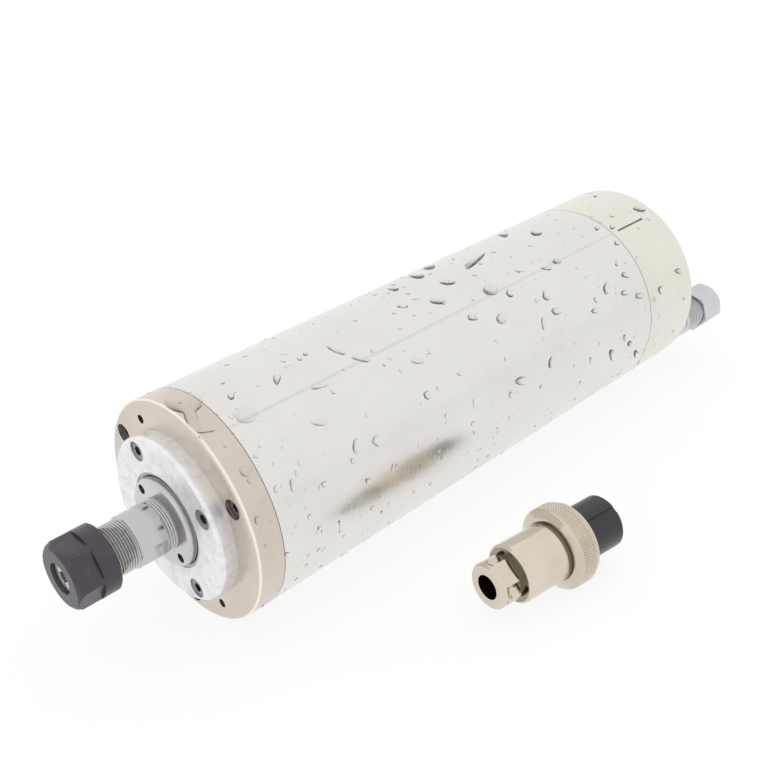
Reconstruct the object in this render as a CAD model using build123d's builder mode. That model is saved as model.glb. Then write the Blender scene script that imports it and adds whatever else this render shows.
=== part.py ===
"""Water-cooled motor spindle, 65 mm body, ER11 nose, with its loose power plug.

The spindle lies along X: the nose points to -X, and X = 0 is the front face of the
front flange. Y is across and Z is up, so the body rests on its round side. Lengths
are millimetres. Angles in a cross-section are measured from +Y towards +Z.
"""

import os
from math import cos, radians, sin, sqrt, tan

from build123d import *

# ---------------------------------------------------------------- fits and clearances
SEAT = 0.02  # radial gap of a fixed seat
RUN = 0.05  # radial gap of a running fit
RACE_GAP = 0.12  # gap between a ball and its raceway
FACE_GAP = 0.2  # axial gap between a turning face and a still one

# ---------------------------------------------------------------- body
BODY_R = 32.5
BODY_LENGTH = 195.0
FLANGE_LENGTH = 8.5
CAP_LENGTH = 25.5
TUBE_WALL = 2.0
EDGE = 0.8  # outer edges of flange and cap
FRONT_SPIGOT = 14.0
CAP_SPIGOT = 6.0
CAP_PORT_WALL = 0.88  # metal between a port's thread and the cap's hollow
CAP_END_WALL = 5.0
MARK_ANGLE = 113.6  # index groove on the rear cap
MARK_START = 3.0
MARK_LENGTH = 14.0
MARK_WIDTH = 0.7
MARK_DEPTH = 0.35

# ---------------------------------------------------------------- front cover
COVER_RIM = 4.0  # from the screws' circle to the cover's edge
COVER_THICKNESS = 4.8
COVER_HOLE_R = 14.0
COVER_SPIGOT = 2.0
COVER_ROUND = 1.2
COVER_SCREW_WALL = 4.0  # from the bearing's seat to the screws' circle
COVER_SCREW_ANGLE = 58.6
COVER_SCREWS = 4
COVER_SCREW_LENGTH = 8.0
COVER_SCREW_RECESS = 0.4

# ---------------------------------------------------------------- M3 socket head screws
SCREW_R = 1.5
HEAD_R = 2.65
HEAD_HEIGHT = 2.8
HEX_KEY_AF = 2.5
HEX_KEY_DEPTH = 1.6
COUNTERBORE_R = 2.85

# ---------------------------------------------------------------- tie screws and tapped holes
TIE_INSET = 2.5  # from the tube's bore to the tie screws' circle
TIE_ANGLE = 28.0
TIE_SCREWS = 3
TIE_RECESS = 1.2
TIE_GRIP = 5.0  # thread length in the jacket
TAPPED_INSET = 5.3  # from the body's outside
TAPPED_ANGLE = 58.0
TAPPED_HOLES = 2
TAPPED_R = 1.3
TAPPED_DEPTH = 7.0

# ---------------------------------------------------------------- bearings
FRONT_BORE_R = 7.5  # 15 x 32 x 9 angular contact pair
FRONT_OUTER_R = 16.0
FRONT_WIDTH = 9.0
FRONT_BEARINGS = 2
REAR_BORE_R = 6.0  # 12 x 28 x 8
REAR_OUTER_R = 14.0
REAR_WIDTH = 8.0
BALL_R = 2.38
BALLS = 9
RING_WALL_SHARE = 0.28  # ring thickness as a share of the bearing's section
CAGE_SHARE = 0.25
CAGE_WIDTH = 6.6
PAIR_GAP = 0.02  # between neighbouring bearing rings
SPRING_R = 0.8
BEARING_LIP = 2.0

# ---------------------------------------------------------------- shaft
NOSE_THREAD_R = 7.0  # M14 x 0.75
NOSE_CHAMFER = 0.4
NOSE_LENGTH = 31.5
NOSE_THREAD_LENGTH = 14.1
FLAT_START = 9.6  # wrench flats in front of the lock ring
FLAT_LENGTH = 7.2
FLATS_AF = 13.0
FLATS_ANGLE = 202.0
SHOULDER_R = 9.6
SHOULDER_LENGTH = 6.0
CORE_SEAT_R = 9.0
REAR_STEP_R = 7.6
REAR_STEP_LEAD = 2.0  # axial length of the step behind the rotor
SEAT_LEAD = 0.3  # chamfer from the nose thread up to the bearing seat
SHAFT_OVERRUN = 1.0  # shaft end behind the rear lock nut
SHAFT_END_CHAMFER = 0.6
COLLET_MOUTH_R = 5.5
COLLET_TAPER = 8.0  # degrees on each side
SHANK_BORE_R = 3.5
SHANK_BORE_END = 8.0  # depth behind the flange face, up to the drill point
DRILL_POINT = 60.0  # half angle of the bore's conical end

# ---------------------------------------------------------------- lock ring and rear lock nut
LOCK_RING_R = 12.8
LOCK_RING_PROUD = 6.6
LOCK_RING_BOSS_R = 9.6
LOCK_RING_BACK = 0.5
LOCK_RING_ROUND = 0.9
PIN_HOLE_R = 1.4
PIN_HOLE_DEPTH = 3.0
PIN_CIRCLE_R = 10.4
PIN_ANGLE = 44.0
REAR_NUT_R = 9.5
REAR_NUT_LENGTH = 5.0
REAR_NUT_NOTCH = 3.0
REAR_NUT_NOTCHES = 4

# ---------------------------------------------------------------- motor
STATOR_BORE_R = 15.9
SLOTS = 18
SLOT_WIDTH = 2.6
SLOT_YOKE = 2.98  # core behind the slots
SLOT_LIP = 1.1
SLOT_MOUTH = 1.4
COIL_GAP = 0.12
COIL_OVERHANG = 12.0
COIL_BORE_GAP = 1.3  # end turns stand back from the bore
COIL_RIM_GAP = 1.58  # and from the jacket
COIL_FRONT_GAP = 10.5  # front flange to the end turns
COIL_REAR_GAP = 11.0  # end turns to the rear bearing housing
COIL_ROUND_SHARE = 1 / 3  # rounding of the end turns as a share of their thickness
AIR_GAP = 0.35
END_RING_LENGTH = 7.0
END_RING_WALL = 4.4

# ---------------------------------------------------------------- water jacket
JACKET_WALL = 2.0  # metal under the channels
CHANNEL_DEPTH = 2.5
CHANNELS = 12
CHANNEL_RIB = 4.6
CHANNEL_NOTCH = 9.0
NOTCH_WIDTH = 7.4
O_RING_SECTION_R = 0.98
O_RING_LAND = 3.5  # jacket metal on each side of a seal's middle
O_RING_GROOVE = 2.4  # groove width
HOUSING_FLANGE = 3.5
HOUSING_DEPTH = 12.0

# ---------------------------------------------------------------- water fittings
PORT_INSET = 6.2  # from the body's outside
PORT_ANGLES = {"left": 207.0, "right": 327.0}
PORT_THREAD_R = 4.9
PORT_DEPTH = 8.0
DRILLING_R = 1.5
DRILLING_RISE = 0.3  # drilling's middle above the channel's bottom
DRILLING_OVERLAP = 1.0  # how far a drilling runs into its channel
FITTING_R = 6.0
FITTING_LENGTH = 19.5
FITTING_BORE_R = 2.5
FITTING_CHAMFER = 1.0
HOSE_R = 4.0
HOSE_NUT_AF = 13.6
HOSE_NUT_ANGLE = 10.0
HOSE_NUT_START = 15.5
HOSE_NUT_LENGTH = 12.0
HOSE_NUT_DOME = 3.0
HOSE_NUT_CHAMFER = 0.5
HOSE_NUT_LIP = 1.0  # end wall round the hose
SLEEVE_LENGTH = 3.6
SLEEVE_WALL = 1.3
SLEEVE_EDGE = 0.2

# ---------------------------------------------------------------- collet and collet nut
COLLET_LENGTH = 18.0
COLLET_FACE_R = 4.1
COLLET_FLANGE_R = 5.7
COLLET_CONE = 30.0
COLLET_LAND = 0.5
COLLET_BORE_R = 1.5875  # 1/8 inch tool shank
COLLET_SLITS = 4
SLIT_WIDTH = 0.45
SLIT_LENGTH = 14.5
COLLET_RECESS = 1.0
COLLET_PROUD = 3.9  # collet face in front of the shaft's end
NUT_CENTRE_GAP = 0.5  # shaft's end to the collet's rear cone
CLAMP_NUT_R = 9.5
CLAMP_NUT_LENGTH = 12.1
CLAMP_NUT_MOUTH_R = 4.4
CLAMP_NUT_FACE_R = 8.0
CLAMP_NUT_NOSE = 1.8  # length of the rounded front edge
CLAMP_NUT_SHOULDER = 0.63
CLAMP_NUT_SHOULDER_R = 8.9
CLAMP_NUT_AF = 17.0
CLAMP_NUT_FLATS = 7.0
CLAMP_NUT_ANGLE = 56.0
CLAMP_NUT_CHAMFER = 0.5

# ---------------------------------------------------------------- power connector, 20 mm thread size
CONNECTOR_R = 9.45  # thread on the socket
SOCKET_BORE_R = 8.3
SOCKET_FLANGE_R = 12.5
SOCKET_FLANGE = 2.5
SOCKET_LENGTH = 11.5
SOCKET_NUT_AF = 24.0
SOCKET_NUT = 3.0
SOCKET_OVERRUN = 1.0  # thread behind the nut
INSERT_DEPTH = 7.5
PIN_R = 1.0
CONTACT_CIRCLE_R = 5.0
PINS = 4
PIN_START_ANGLE = 45.0
PIN_PROUD = 6.0
PIN_TAIL = 4.0
KEY_WIDTH = 2.0
KEY_HEIGHT = 0.8

# ---------------------------------------------------------------- loose plug
PLUG_X = 75.5
PLUG_Y = -65.1
PLUG_YAW = -6.6
PLUG_RING_R = 12.4
PLUG_RING_LENGTH = 9.4
PLUG_RING_EDGE_R = 10.9
PLUG_RING_BEVEL = 1.1
PLUG_RING_GROOVE_R = 10.7
PLUG_RING_FLANGE_R = 11.4
PLUG_RING_FLANGE_CHAMFER = 0.3
PLUG_RING_LIP = 1.9
PLUG_RING_FLANGE = 1.0
PLUG_RING_GROOVE = 0.5
PLUG_BODY_R = 8.8
PLUG_BODY_START = -14.8
PLUG_BODY_CHAMFER = 0.8
PLUG_NECK_R = 6.0
PLUG_NECK = 1.2
PLUG_TAIL_R = 6.8
PLUG_TAIL_START = -22.6
PLUG_TAIL_RING = 1.3
PLUG_TAIL_CHAMFER = 0.5
CABLE_R = 3.7
PLUG_CAVITY_R = 6.6
PLUG_CAVITY_START = -13.0
PLUG_CAVITY_CONE = 2.0
PLUG_NECK_FRONT_R = 8.0
PLUG_COLLAR_START = 6.6
PLUG_COLLAR = 1.0
INSERT_R = 8.1
INSERT_END = 22.9
INSERT_CHAMFER = 0.5
WASHER_THICKNESS = 0.6
CONTACT_R = 1.7
CONTACT_LENGTH = 13.0
CONTACT_RECESS = 1.0
SADDLE_ANGLE = 119.0
SADDLE_SEAT = 1.2
SADDLE_TOP = 5.2
SADDLE_WING = 2.6
SADDLE_GAP = 0.15
SADDLE_SCREW_SPREAD = 5.0
SADDLE_SCREW_R = 0.8
SADDLE_HEAD_R = 1.35
SADDLE_HEAD = 1.0
SADDLE_SCREW_LENGTH = 3.9
SADDLE_SLOT = 0.4

# ---------------------------------------------------------------- stations and radii worked out
TUBE_R = BODY_R - TUBE_WALL
CAP_START = BODY_LENGTH - CAP_LENGTH
HOUSING_END = CAP_START - CAP_SPIGOT
JACKET_END = HOUSING_END - HOUSING_FLANGE
FRONT_STACK = FRONT_WIDTH * FRONT_BEARINGS
FRONT_STACK_END = COVER_SPIGOT + FRONT_STACK
HOUSING_START = JACKET_END - HOUSING_DEPTH
SPRING_START = HOUSING_START + BEARING_LIP
REAR_BEARING_START = SPRING_START + 2 * SPRING_R
REAR_BEARING_END = REAR_BEARING_START + REAR_WIDTH
STATOR_START = FLANGE_LENGTH + FRONT_SPIGOT + COIL_FRONT_GAP + COIL_OVERHANG
STATOR_END = HOUSING_START - COIL_REAR_GAP - COIL_OVERHANG
STATOR_LENGTH = STATOR_END - STATOR_START
O_RING_INSET = TIE_GRIP + O_RING_LAND
CHANNEL_END = O_RING_INSET + O_RING_LAND
JACKET_R = TUBE_R - SEAT
CHANNEL_BOTTOM_R = TUBE_R - CHANNEL_DEPTH
STATOR_R = CHANNEL_BOTTOM_R - JACKET_WALL
SLOT_BOTTOM_R = STATOR_R - SLOT_YOKE
SLOT_DEPTH = SLOT_BOTTOM_R - STATOR_BORE_R - SLOT_LIP
COIL_INNER_R = STATOR_BORE_R + COIL_BORE_GAP
COIL_OUTER_R = STATOR_R - COIL_RIM_GAP
ROTOR_R = STATOR_BORE_R - AIR_GAP
TIE_CIRCLE_R = TUBE_R - TIE_INSET
TAPPED_CIRCLE_R = BODY_R - TAPPED_INSET
COVER_SCREW_CIRCLE_R = FRONT_OUTER_R + COVER_SCREW_WALL
COVER_R = COVER_SCREW_CIRCLE_R + COVER_RIM
PORT_CIRCLE_R = BODY_R - PORT_INSET
DRILLING_CIRCLE_R = CHANNEL_BOTTOM_R + DRILLING_RISE
CAP_HOLLOW_R = PORT_CIRCLE_R - PORT_THREAD_R - CAP_PORT_WALL
CAP_FLOOR = BODY_LENGTH - CAP_END_WALL
FITTING_END = BODY_LENGTH + FITTING_LENGTH
TAPER = tan(radians(COLLET_TAPER))
CLAMP_NUT_FRONT = -NOSE_LENGTH - COLLET_RECESS - COLLET_PROUD
CLAMP_NUT_REAR = CLAMP_NUT_FRONT + CLAMP_NUT_LENGTH


def across(x):
    """Cross-section plane of the spindle at station x."""
    return Plane.YZ.offset(x)


def outline(points, plane=Plane.XY):
    """Closed half-section through (station, radius) points."""
    with BuildSketch(plane) as face:
        with BuildLine():
            Polyline(*points, close=True)
        make_face()
    return face.sketch


def cylinder_at(x, length, radius, mode=Mode.ADD):
    """Cylinder on the spindle's axis, or on the current location's, from station x."""
    with BuildSketch(across(x)) as disc:
        Circle(radius)
    extrude(disc.sketch, amount=length, mode=mode)


def holes(x, length, radius, circle_r, count, angle, mode=Mode.SUBTRACT):
    """Round holes, or with Mode.ADD pins, on a circle about the axis, from station x."""
    with BuildSketch(across(x)) as discs:
        with PolarLocations(circle_r, count, start_angle=angle):
            Circle(radius)
    extrude(discs.sketch, amount=length, mode=mode)


def point_on(circle_r, angle):
    """Y and Z of a point on a circle about the axis."""
    return circle_r * cos(radians(angle)), circle_r * sin(radians(angle))


def save(part, label):
    part.label = label
    export_step(part, f"parts/{label}.step")


def socket_screws(label, x, length, circle_r, count, angle, direction=1):
    """Socket head screws: head tops at station x, shanks running along direction."""
    head_start = x if direction > 0 else x - HEAD_HEIGHT
    shank_start = x + HEAD_HEIGHT if direction > 0 else x - HEAD_HEIGHT - length
    key_start = x if direction > 0 else x - HEX_KEY_DEPTH
    with BuildPart() as screws:
        holes(head_start, HEAD_HEIGHT, HEAD_R, circle_r, count, angle, mode=Mode.ADD)
        holes(shank_start, length, SCREW_R, circle_r, count, angle, mode=Mode.ADD)
        with BuildSketch(across(key_start)) as keys:
            with PolarLocations(circle_r, count, start_angle=angle):
                RegularPolygon(HEX_KEY_AF / 2, 6, major_radius=False)
        extrude(keys.sketch, amount=HEX_KEY_DEPTH, mode=Mode.SUBTRACT)
    save(screws.part, label)


def bearing(bore_r, outer_r):
    """Pitch radius, inner ring's outer radius and outer ring's bore radius."""
    section = outer_r - bore_r
    wall = section * RING_WALL_SHARE
    return (bore_r + outer_r) / 2, bore_r + wall, outer_r - wall


def bearing_rings(x_starts, width, low_r, high_r, pitch_r):
    """Bearing rings of one kind, each with its ball groove."""
    with BuildPart() as rings:
        for x in x_starts:
            with BuildSketch(Plane.XY) as section:
                with BuildLine():
                    Polyline((x, low_r), (x + width - PAIR_GAP, low_r), (x + width - PAIR_GAP, high_r),
                             (x, high_r), close=True)
                make_face()
                with Locations((x + (width - PAIR_GAP) / 2, pitch_r)):
                    Circle(BALL_R + RACE_GAP, mode=Mode.SUBTRACT)
            revolve(section.sketch, axis=Axis.X)
    return rings.part


def cage_and_balls(x_starts, width, pitch_r, section):
    """Ball cages with round radial pockets, and a ball in each pocket."""
    half = section * CAGE_SHARE / 2
    middles = [x + (width - PAIR_GAP) / 2 for x in x_starts]
    with BuildPart() as cages:
        for middle in middles:
            with BuildSketch(across(middle - CAGE_WIDTH / 2)) as ring:
                Circle(pitch_r + half)
                Circle(pitch_r - half, mode=Mode.SUBTRACT)
            extrude(ring.sketch, amount=CAGE_WIDTH)
            for i in range(BALLS):
                y, z = point_on(1, i * 360 / BALLS)
                with BuildSketch(Plane(origin=(middle, 0, 0), x_dir=(1, 0, 0), z_dir=(0, y, z))) as pocket:
                    Circle(BALL_R + RACE_GAP)
                extrude(pocket.sketch, amount=pitch_r + section, mode=Mode.SUBTRACT)
        for middle in middles:
            with Locations(across(middle)):
                with PolarLocations(pitch_r, BALLS):
                    Sphere(BALL_R)
    return cages.part


os.makedirs("parts", exist_ok=True)

# ================================================================ stationary body
front_pitch_r, front_inner_wall_r, front_outer_wall_r = bearing(FRONT_BORE_R, FRONT_OUTER_R)
rear_pitch_r, rear_inner_wall_r, rear_outer_wall_r = bearing(REAR_BORE_R, REAR_OUTER_R)
front_starts = [COVER_SPIGOT + i * FRONT_WIDTH for i in range(FRONT_BEARINGS)]

with BuildPart() as front_flange:
    cylinder_at(0, FLANGE_LENGTH, BODY_R)
    chamfer(front_flange.edges().group_by(Axis.X)[0], EDGE)
    cylinder_at(FLANGE_LENGTH, FRONT_SPIGOT, STATOR_R - SEAT)
    cylinder_at(0, FRONT_STACK_END, FRONT_OUTER_R + SEAT, mode=Mode.SUBTRACT)
    cylinder_at(FRONT_STACK_END, FLANGE_LENGTH + FRONT_SPIGOT - FRONT_STACK_END,
                front_outer_wall_r, mode=Mode.SUBTRACT)
    holes(0, COVER_SCREW_LENGTH, SCREW_R + SEAT, COVER_SCREW_CIRCLE_R, COVER_SCREWS, COVER_SCREW_ANGLE)
    holes(0, FLANGE_LENGTH, SCREW_R + SEAT, TIE_CIRCLE_R, TIE_SCREWS, TIE_ANGLE)
    holes(0, TIE_RECESS + HEAD_HEIGHT, COUNTERBORE_R, TIE_CIRCLE_R, TIE_SCREWS, TIE_ANGLE)
    holes(0, TAPPED_DEPTH, TAPPED_R, TAPPED_CIRCLE_R, TAPPED_HOLES, TAPPED_ANGLE)
save(front_flange.part, "front_flange")

with BuildPart() as front_cover:
    cylinder_at(-COVER_THICKNESS, COVER_THICKNESS, COVER_R)
    fillet(front_cover.edges().group_by(Axis.X)[0], COVER_ROUND)
    cylinder_at(0, COVER_SPIGOT, FRONT_OUTER_R)
    cylinder_at(-COVER_THICKNESS, COVER_THICKNESS + COVER_SPIGOT, COVER_HOLE_R, mode=Mode.SUBTRACT)
    holes(-COVER_THICKNESS, COVER_THICKNESS, SCREW_R + SEAT,
          COVER_SCREW_CIRCLE_R, COVER_SCREWS, COVER_SCREW_ANGLE)
    holes(-COVER_THICKNESS, COVER_SCREW_RECESS + HEAD_HEIGHT, COUNTERBORE_R,
          COVER_SCREW_CIRCLE_R, COVER_SCREWS, COVER_SCREW_ANGLE)
save(front_cover.part, "front_cover")

socket_screws("front_cover_screws", COVER_SCREW_RECESS - COVER_THICKNESS, COVER_SCREW_LENGTH,
              COVER_SCREW_CIRCLE_R, COVER_SCREWS, COVER_SCREW_ANGLE)
tie_head = TIE_RECESS + HEAD_HEIGHT
socket_screws("front_tie_screws", TIE_RECESS, FLANGE_LENGTH + TIE_GRIP - tie_head,
              TIE_CIRCLE_R, TIE_SCREWS, TIE_ANGLE)
socket_screws("rear_tie_screws", BODY_LENGTH - TIE_RECESS, BODY_LENGTH - tie_head - JACKET_END + TIE_GRIP,
              TIE_CIRCLE_R, TIE_SCREWS, TIE_ANGLE, direction=-1)

with BuildPart() as outer_tube:
    cylinder_at(FLANGE_LENGTH, CAP_START - FLANGE_LENGTH, BODY_R)
    cylinder_at(FLANGE_LENGTH, CAP_START - FLANGE_LENGTH, TUBE_R, mode=Mode.SUBTRACT)
save(outer_tube.part, "outer_tube")

# The jacket's channels run lengthwise and are joined in turn at the front and the
# rear, so that the water goes back and forth round the stator.
o_ring_circle_r = JACKET_R - O_RING_SECTION_R
o_ring_stations = {"front_o_ring": FLANGE_LENGTH + O_RING_INSET, "rear_o_ring": JACKET_END - O_RING_INSET}
channel_start = FLANGE_LENGTH + CHANNEL_END
channel_length = JACKET_END - CHANNEL_END - channel_start
channel_step = 360 / CHANNELS
first_rib = PORT_ANGLES["left"] + channel_step / 2
rib_height = 2 * (JACKET_R - CHANNEL_BOTTOM_R)

with BuildPart() as water_jacket:
    cylinder_at(FLANGE_LENGTH, JACKET_END - FLANGE_LENGTH, JACKET_R)
    cylinder_at(FLANGE_LENGTH, JACKET_END - FLANGE_LENGTH, STATOR_R, mode=Mode.SUBTRACT)
    with BuildSketch(across(channel_start)) as channels:
        Circle(BODY_R)
        Circle(CHANNEL_BOTTOM_R, mode=Mode.SUBTRACT)
        with PolarLocations(BODY_R, CHANNELS, start_angle=first_rib):
            Rectangle(4 * rib_height, CHANNEL_RIB, mode=Mode.SUBTRACT)
    extrude(channels.sketch, amount=channel_length, mode=Mode.SUBTRACT)
    for start, rib_angle in (
        (channel_start, first_rib),
        (channel_start + channel_length - CHANNEL_NOTCH, first_rib + channel_step),
    ):
        with BuildSketch(across(start)) as notches:
            with PolarLocations(CHANNEL_BOTTOM_R + rib_height, CHANNELS // 2, start_angle=rib_angle):
                Rectangle(2 * rib_height, NOTCH_WIDTH)
        extrude(notches.sketch, amount=CHANNEL_NOTCH, mode=Mode.SUBTRACT)
    for station in o_ring_stations.values():
        with BuildSketch(Plane.XY) as groove:
            with Locations((station, o_ring_circle_r)):
                Rectangle(O_RING_GROOVE, 2 * (O_RING_SECTION_R + SEAT))
        revolve(groove.sketch, axis=Axis.X, mode=Mode.SUBTRACT)
    holes(FLANGE_LENGTH, TIE_GRIP + FACE_GAP, SCREW_R + SEAT, TIE_CIRCLE_R, TIE_SCREWS, TIE_ANGLE)
    holes(JACKET_END - TIE_GRIP - FACE_GAP, TIE_GRIP + FACE_GAP, SCREW_R + SEAT,
          TIE_CIRCLE_R, TIE_SCREWS, TIE_ANGLE)
    for angle in PORT_ANGLES.values():
        holes(JACKET_END - CHANNEL_END - DRILLING_OVERLAP, CHANNEL_END + DRILLING_OVERLAP,
              DRILLING_R, DRILLING_CIRCLE_R, 1, angle)
save(water_jacket.part, "water_jacket")

for name, station in o_ring_stations.items():
    with BuildPart() as o_ring:
        with BuildSketch(Plane.XY) as section:
            with Locations((station, o_ring_circle_r)):
                Circle(O_RING_SECTION_R)
        revolve(section.sketch, axis=Axis.X)
    save(o_ring.part, name)

with BuildPart() as rear_bearing_housing:
    cylinder_at(HOUSING_START, HOUSING_DEPTH, STATOR_R - SEAT)
    cylinder_at(JACKET_END, HOUSING_FLANGE, JACKET_R)
    cylinder_at(HOUSING_START, BEARING_LIP, rear_outer_wall_r, mode=Mode.SUBTRACT)
    cylinder_at(SPRING_START, HOUSING_END - SPRING_START, REAR_OUTER_R + SEAT, mode=Mode.SUBTRACT)
    holes(JACKET_END, HOUSING_FLANGE, SCREW_R + SEAT, TIE_CIRCLE_R, TIE_SCREWS, TIE_ANGLE)
    for angle in PORT_ANGLES.values():
        holes(JACKET_END, HOUSING_FLANGE, DRILLING_R, DRILLING_CIRCLE_R, 1, angle)
save(rear_bearing_housing.part, "rear_bearing_housing")

with BuildPart() as preload_spring:
    with BuildSketch(Plane.XY) as section:
        with Locations((SPRING_START + SPRING_R, REAR_OUTER_R - SPRING_R - SEAT)):
            Circle(SPRING_R - SEAT)
    revolve(section.sketch, axis=Axis.X)
save(preload_spring.part, "preload_spring")

save(bearing_rings(front_starts, FRONT_WIDTH, front_outer_wall_r, FRONT_OUTER_R, front_pitch_r),
     "front_bearing_outer_rings")
save(bearing_rings([REAR_BEARING_START], REAR_WIDTH, rear_outer_wall_r, REAR_OUTER_R, rear_pitch_r),
     "rear_bearing_outer_ring")

with BuildPart() as rear_cap:
    cylinder_at(CAP_START, CAP_LENGTH, BODY_R)
    chamfer(rear_cap.edges().group_by(Axis.X)[-1], EDGE)
    cylinder_at(HOUSING_END, CAP_SPIGOT, JACKET_R)
    cylinder_at(HOUSING_END, CAP_FLOOR - HOUSING_END, CAP_HOLLOW_R, mode=Mode.SUBTRACT)
    cylinder_at(CAP_FLOOR, CAP_END_WALL, CONNECTOR_R + SEAT, mode=Mode.SUBTRACT)
    holes(HOUSING_END, BODY_LENGTH - HOUSING_END, SCREW_R + SEAT, TIE_CIRCLE_R, TIE_SCREWS, TIE_ANGLE)
    holes(BODY_LENGTH - TIE_RECESS - HEAD_HEIGHT, TIE_RECESS + HEAD_HEIGHT, COUNTERBORE_R,
          TIE_CIRCLE_R, TIE_SCREWS, TIE_ANGLE)
    for angle in PORT_ANGLES.values():
        holes(HOUSING_END, BODY_LENGTH - PORT_DEPTH - HOUSING_END, DRILLING_R, DRILLING_CIRCLE_R, 1, angle)
        holes(BODY_LENGTH - PORT_DEPTH, PORT_DEPTH, PORT_THREAD_R + SEAT, PORT_CIRCLE_R, 1, angle)
    with BuildSketch(across(CAP_START + MARK_START)) as mark:
        with PolarLocations(BODY_R, 1, start_angle=MARK_ANGLE):
            Rectangle(2 * MARK_DEPTH, MARK_WIDTH)
    extrude(mark.sketch, amount=MARK_LENGTH, mode=Mode.SUBTRACT)
save(rear_cap.part, "rear_cap")

# ================================================================ stator
with BuildPart() as stator_core:
    with BuildSketch(across(STATOR_START)) as lamination:
        Circle(STATOR_R - SEAT)
        Circle(STATOR_BORE_R, mode=Mode.SUBTRACT)
        with PolarLocations(SLOT_BOTTOM_R - SLOT_DEPTH / 2, SLOTS):
            Rectangle(SLOT_DEPTH, SLOT_WIDTH, mode=Mode.SUBTRACT)
        with PolarLocations(STATOR_BORE_R, SLOTS):
            Rectangle(2 * SLOT_LIP + SLOT_DEPTH, SLOT_MOUTH, mode=Mode.SUBTRACT)
    extrude(lamination.sketch, amount=STATOR_LENGTH)
save(stator_core.part, "stator_core")

with BuildPart() as stator_windings:
    with BuildSketch(across(STATOR_START)) as bars:
        with PolarLocations(SLOT_BOTTOM_R - SLOT_DEPTH / 2, SLOTS):
            Rectangle(SLOT_DEPTH - 2 * COIL_GAP, SLOT_WIDTH - 2 * COIL_GAP)
    extrude(bars.sketch, amount=STATOR_LENGTH)
    coil_wall = COIL_OUTER_R - COIL_INNER_R
    for start in (STATOR_START - COIL_OVERHANG, STATOR_END):
        with BuildSketch(Plane.XY) as end_turns:
            with Locations((start + COIL_OVERHANG / 2, (COIL_INNER_R + COIL_OUTER_R) / 2)):
                RectangleRounded(COIL_OVERHANG, coil_wall, coil_wall * COIL_ROUND_SHARE)
        revolve(end_turns.sketch, axis=Axis.X)
save(stator_windings.part, "stator_windings")

# ================================================================ rotor
with BuildPart() as shaft:
    thread_end = -NOSE_LENGTH + NOSE_THREAD_LENGTH
    shaft_end = REAR_BEARING_END + REAR_NUT_LENGTH + SHAFT_OVERRUN
    revolve(outline([
        (-NOSE_LENGTH, 0), (-NOSE_LENGTH, NOSE_THREAD_R - NOSE_CHAMFER),
        (-NOSE_LENGTH + NOSE_CHAMFER, NOSE_THREAD_R),
        (thread_end, NOSE_THREAD_R), (thread_end + SEAT_LEAD, FRONT_BORE_R), (FRONT_STACK_END, FRONT_BORE_R),
        (FRONT_STACK_END, SHOULDER_R), (FRONT_STACK_END + SHOULDER_LENGTH, SHOULDER_R),
        (FRONT_STACK_END + SHOULDER_LENGTH, CORE_SEAT_R), (STATOR_END + COIL_OVERHANG, CORE_SEAT_R),
        (STATOR_END + COIL_OVERHANG + REAR_STEP_LEAD, REAR_STEP_R), (REAR_BEARING_START, REAR_STEP_R),
        (REAR_BEARING_START, REAR_BORE_R), (shaft_end - SHAFT_END_CHAMFER, REAR_BORE_R),
        (shaft_end, REAR_BORE_R - SHAFT_END_CHAMFER), (shaft_end, 0),
    ]), axis=Axis.X)
    taper_end = -NOSE_LENGTH + (COLLET_MOUTH_R - SHANK_BORE_R) / TAPER
    revolve(outline([
        (-NOSE_LENGTH, 0), (-NOSE_LENGTH, COLLET_MOUTH_R), (taper_end, SHANK_BORE_R),
        (SHANK_BORE_END, SHANK_BORE_R), (SHANK_BORE_END + SHANK_BORE_R / tan(radians(DRILL_POINT)), 0),
    ]), axis=Axis.X, mode=Mode.SUBTRACT)
    with BuildSketch(across(-FLAT_START - FLAT_LENGTH)) as flats:
        with PolarLocations(FLATS_AF / 2 + FRONT_BORE_R, 2, start_angle=FLATS_ANGLE):
            Rectangle(2 * FRONT_BORE_R, 3 * FRONT_BORE_R)
    extrude(flats.sketch, amount=FLAT_LENGTH, mode=Mode.SUBTRACT)
save(shaft.part, "shaft")

with BuildPart() as rotor_core:
    cylinder_at(STATOR_START, STATOR_LENGTH, ROTOR_R)
    cylinder_at(STATOR_START, STATOR_LENGTH, CORE_SEAT_R + SEAT, mode=Mode.SUBTRACT)
save(rotor_core.part, "rotor_core")

with BuildPart() as rotor_end_rings:
    for start in (STATOR_START - END_RING_LENGTH, STATOR_END):
        with BuildSketch(across(start)) as ring:
            Circle(ROTOR_R)
            Circle(ROTOR_R - END_RING_WALL, mode=Mode.SUBTRACT)
        extrude(ring.sketch, amount=END_RING_LENGTH)
save(rotor_end_rings.part, "rotor_end_rings")

save(bearing_rings(front_starts, FRONT_WIDTH, FRONT_BORE_R + SEAT, front_inner_wall_r, front_pitch_r),
     "front_bearing_inner_rings")
save(bearing_rings([REAR_BEARING_START], REAR_WIDTH, REAR_BORE_R + SEAT, rear_inner_wall_r, rear_pitch_r),
     "rear_bearing_inner_ring")
save(cage_and_balls(front_starts, FRONT_WIDTH, front_pitch_r, FRONT_OUTER_R - FRONT_BORE_R),
     "front_bearing_cages")
save(cage_and_balls([REAR_BEARING_START], REAR_WIDTH, rear_pitch_r, REAR_OUTER_R - REAR_BORE_R),
     "rear_bearing_cage")

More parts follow.
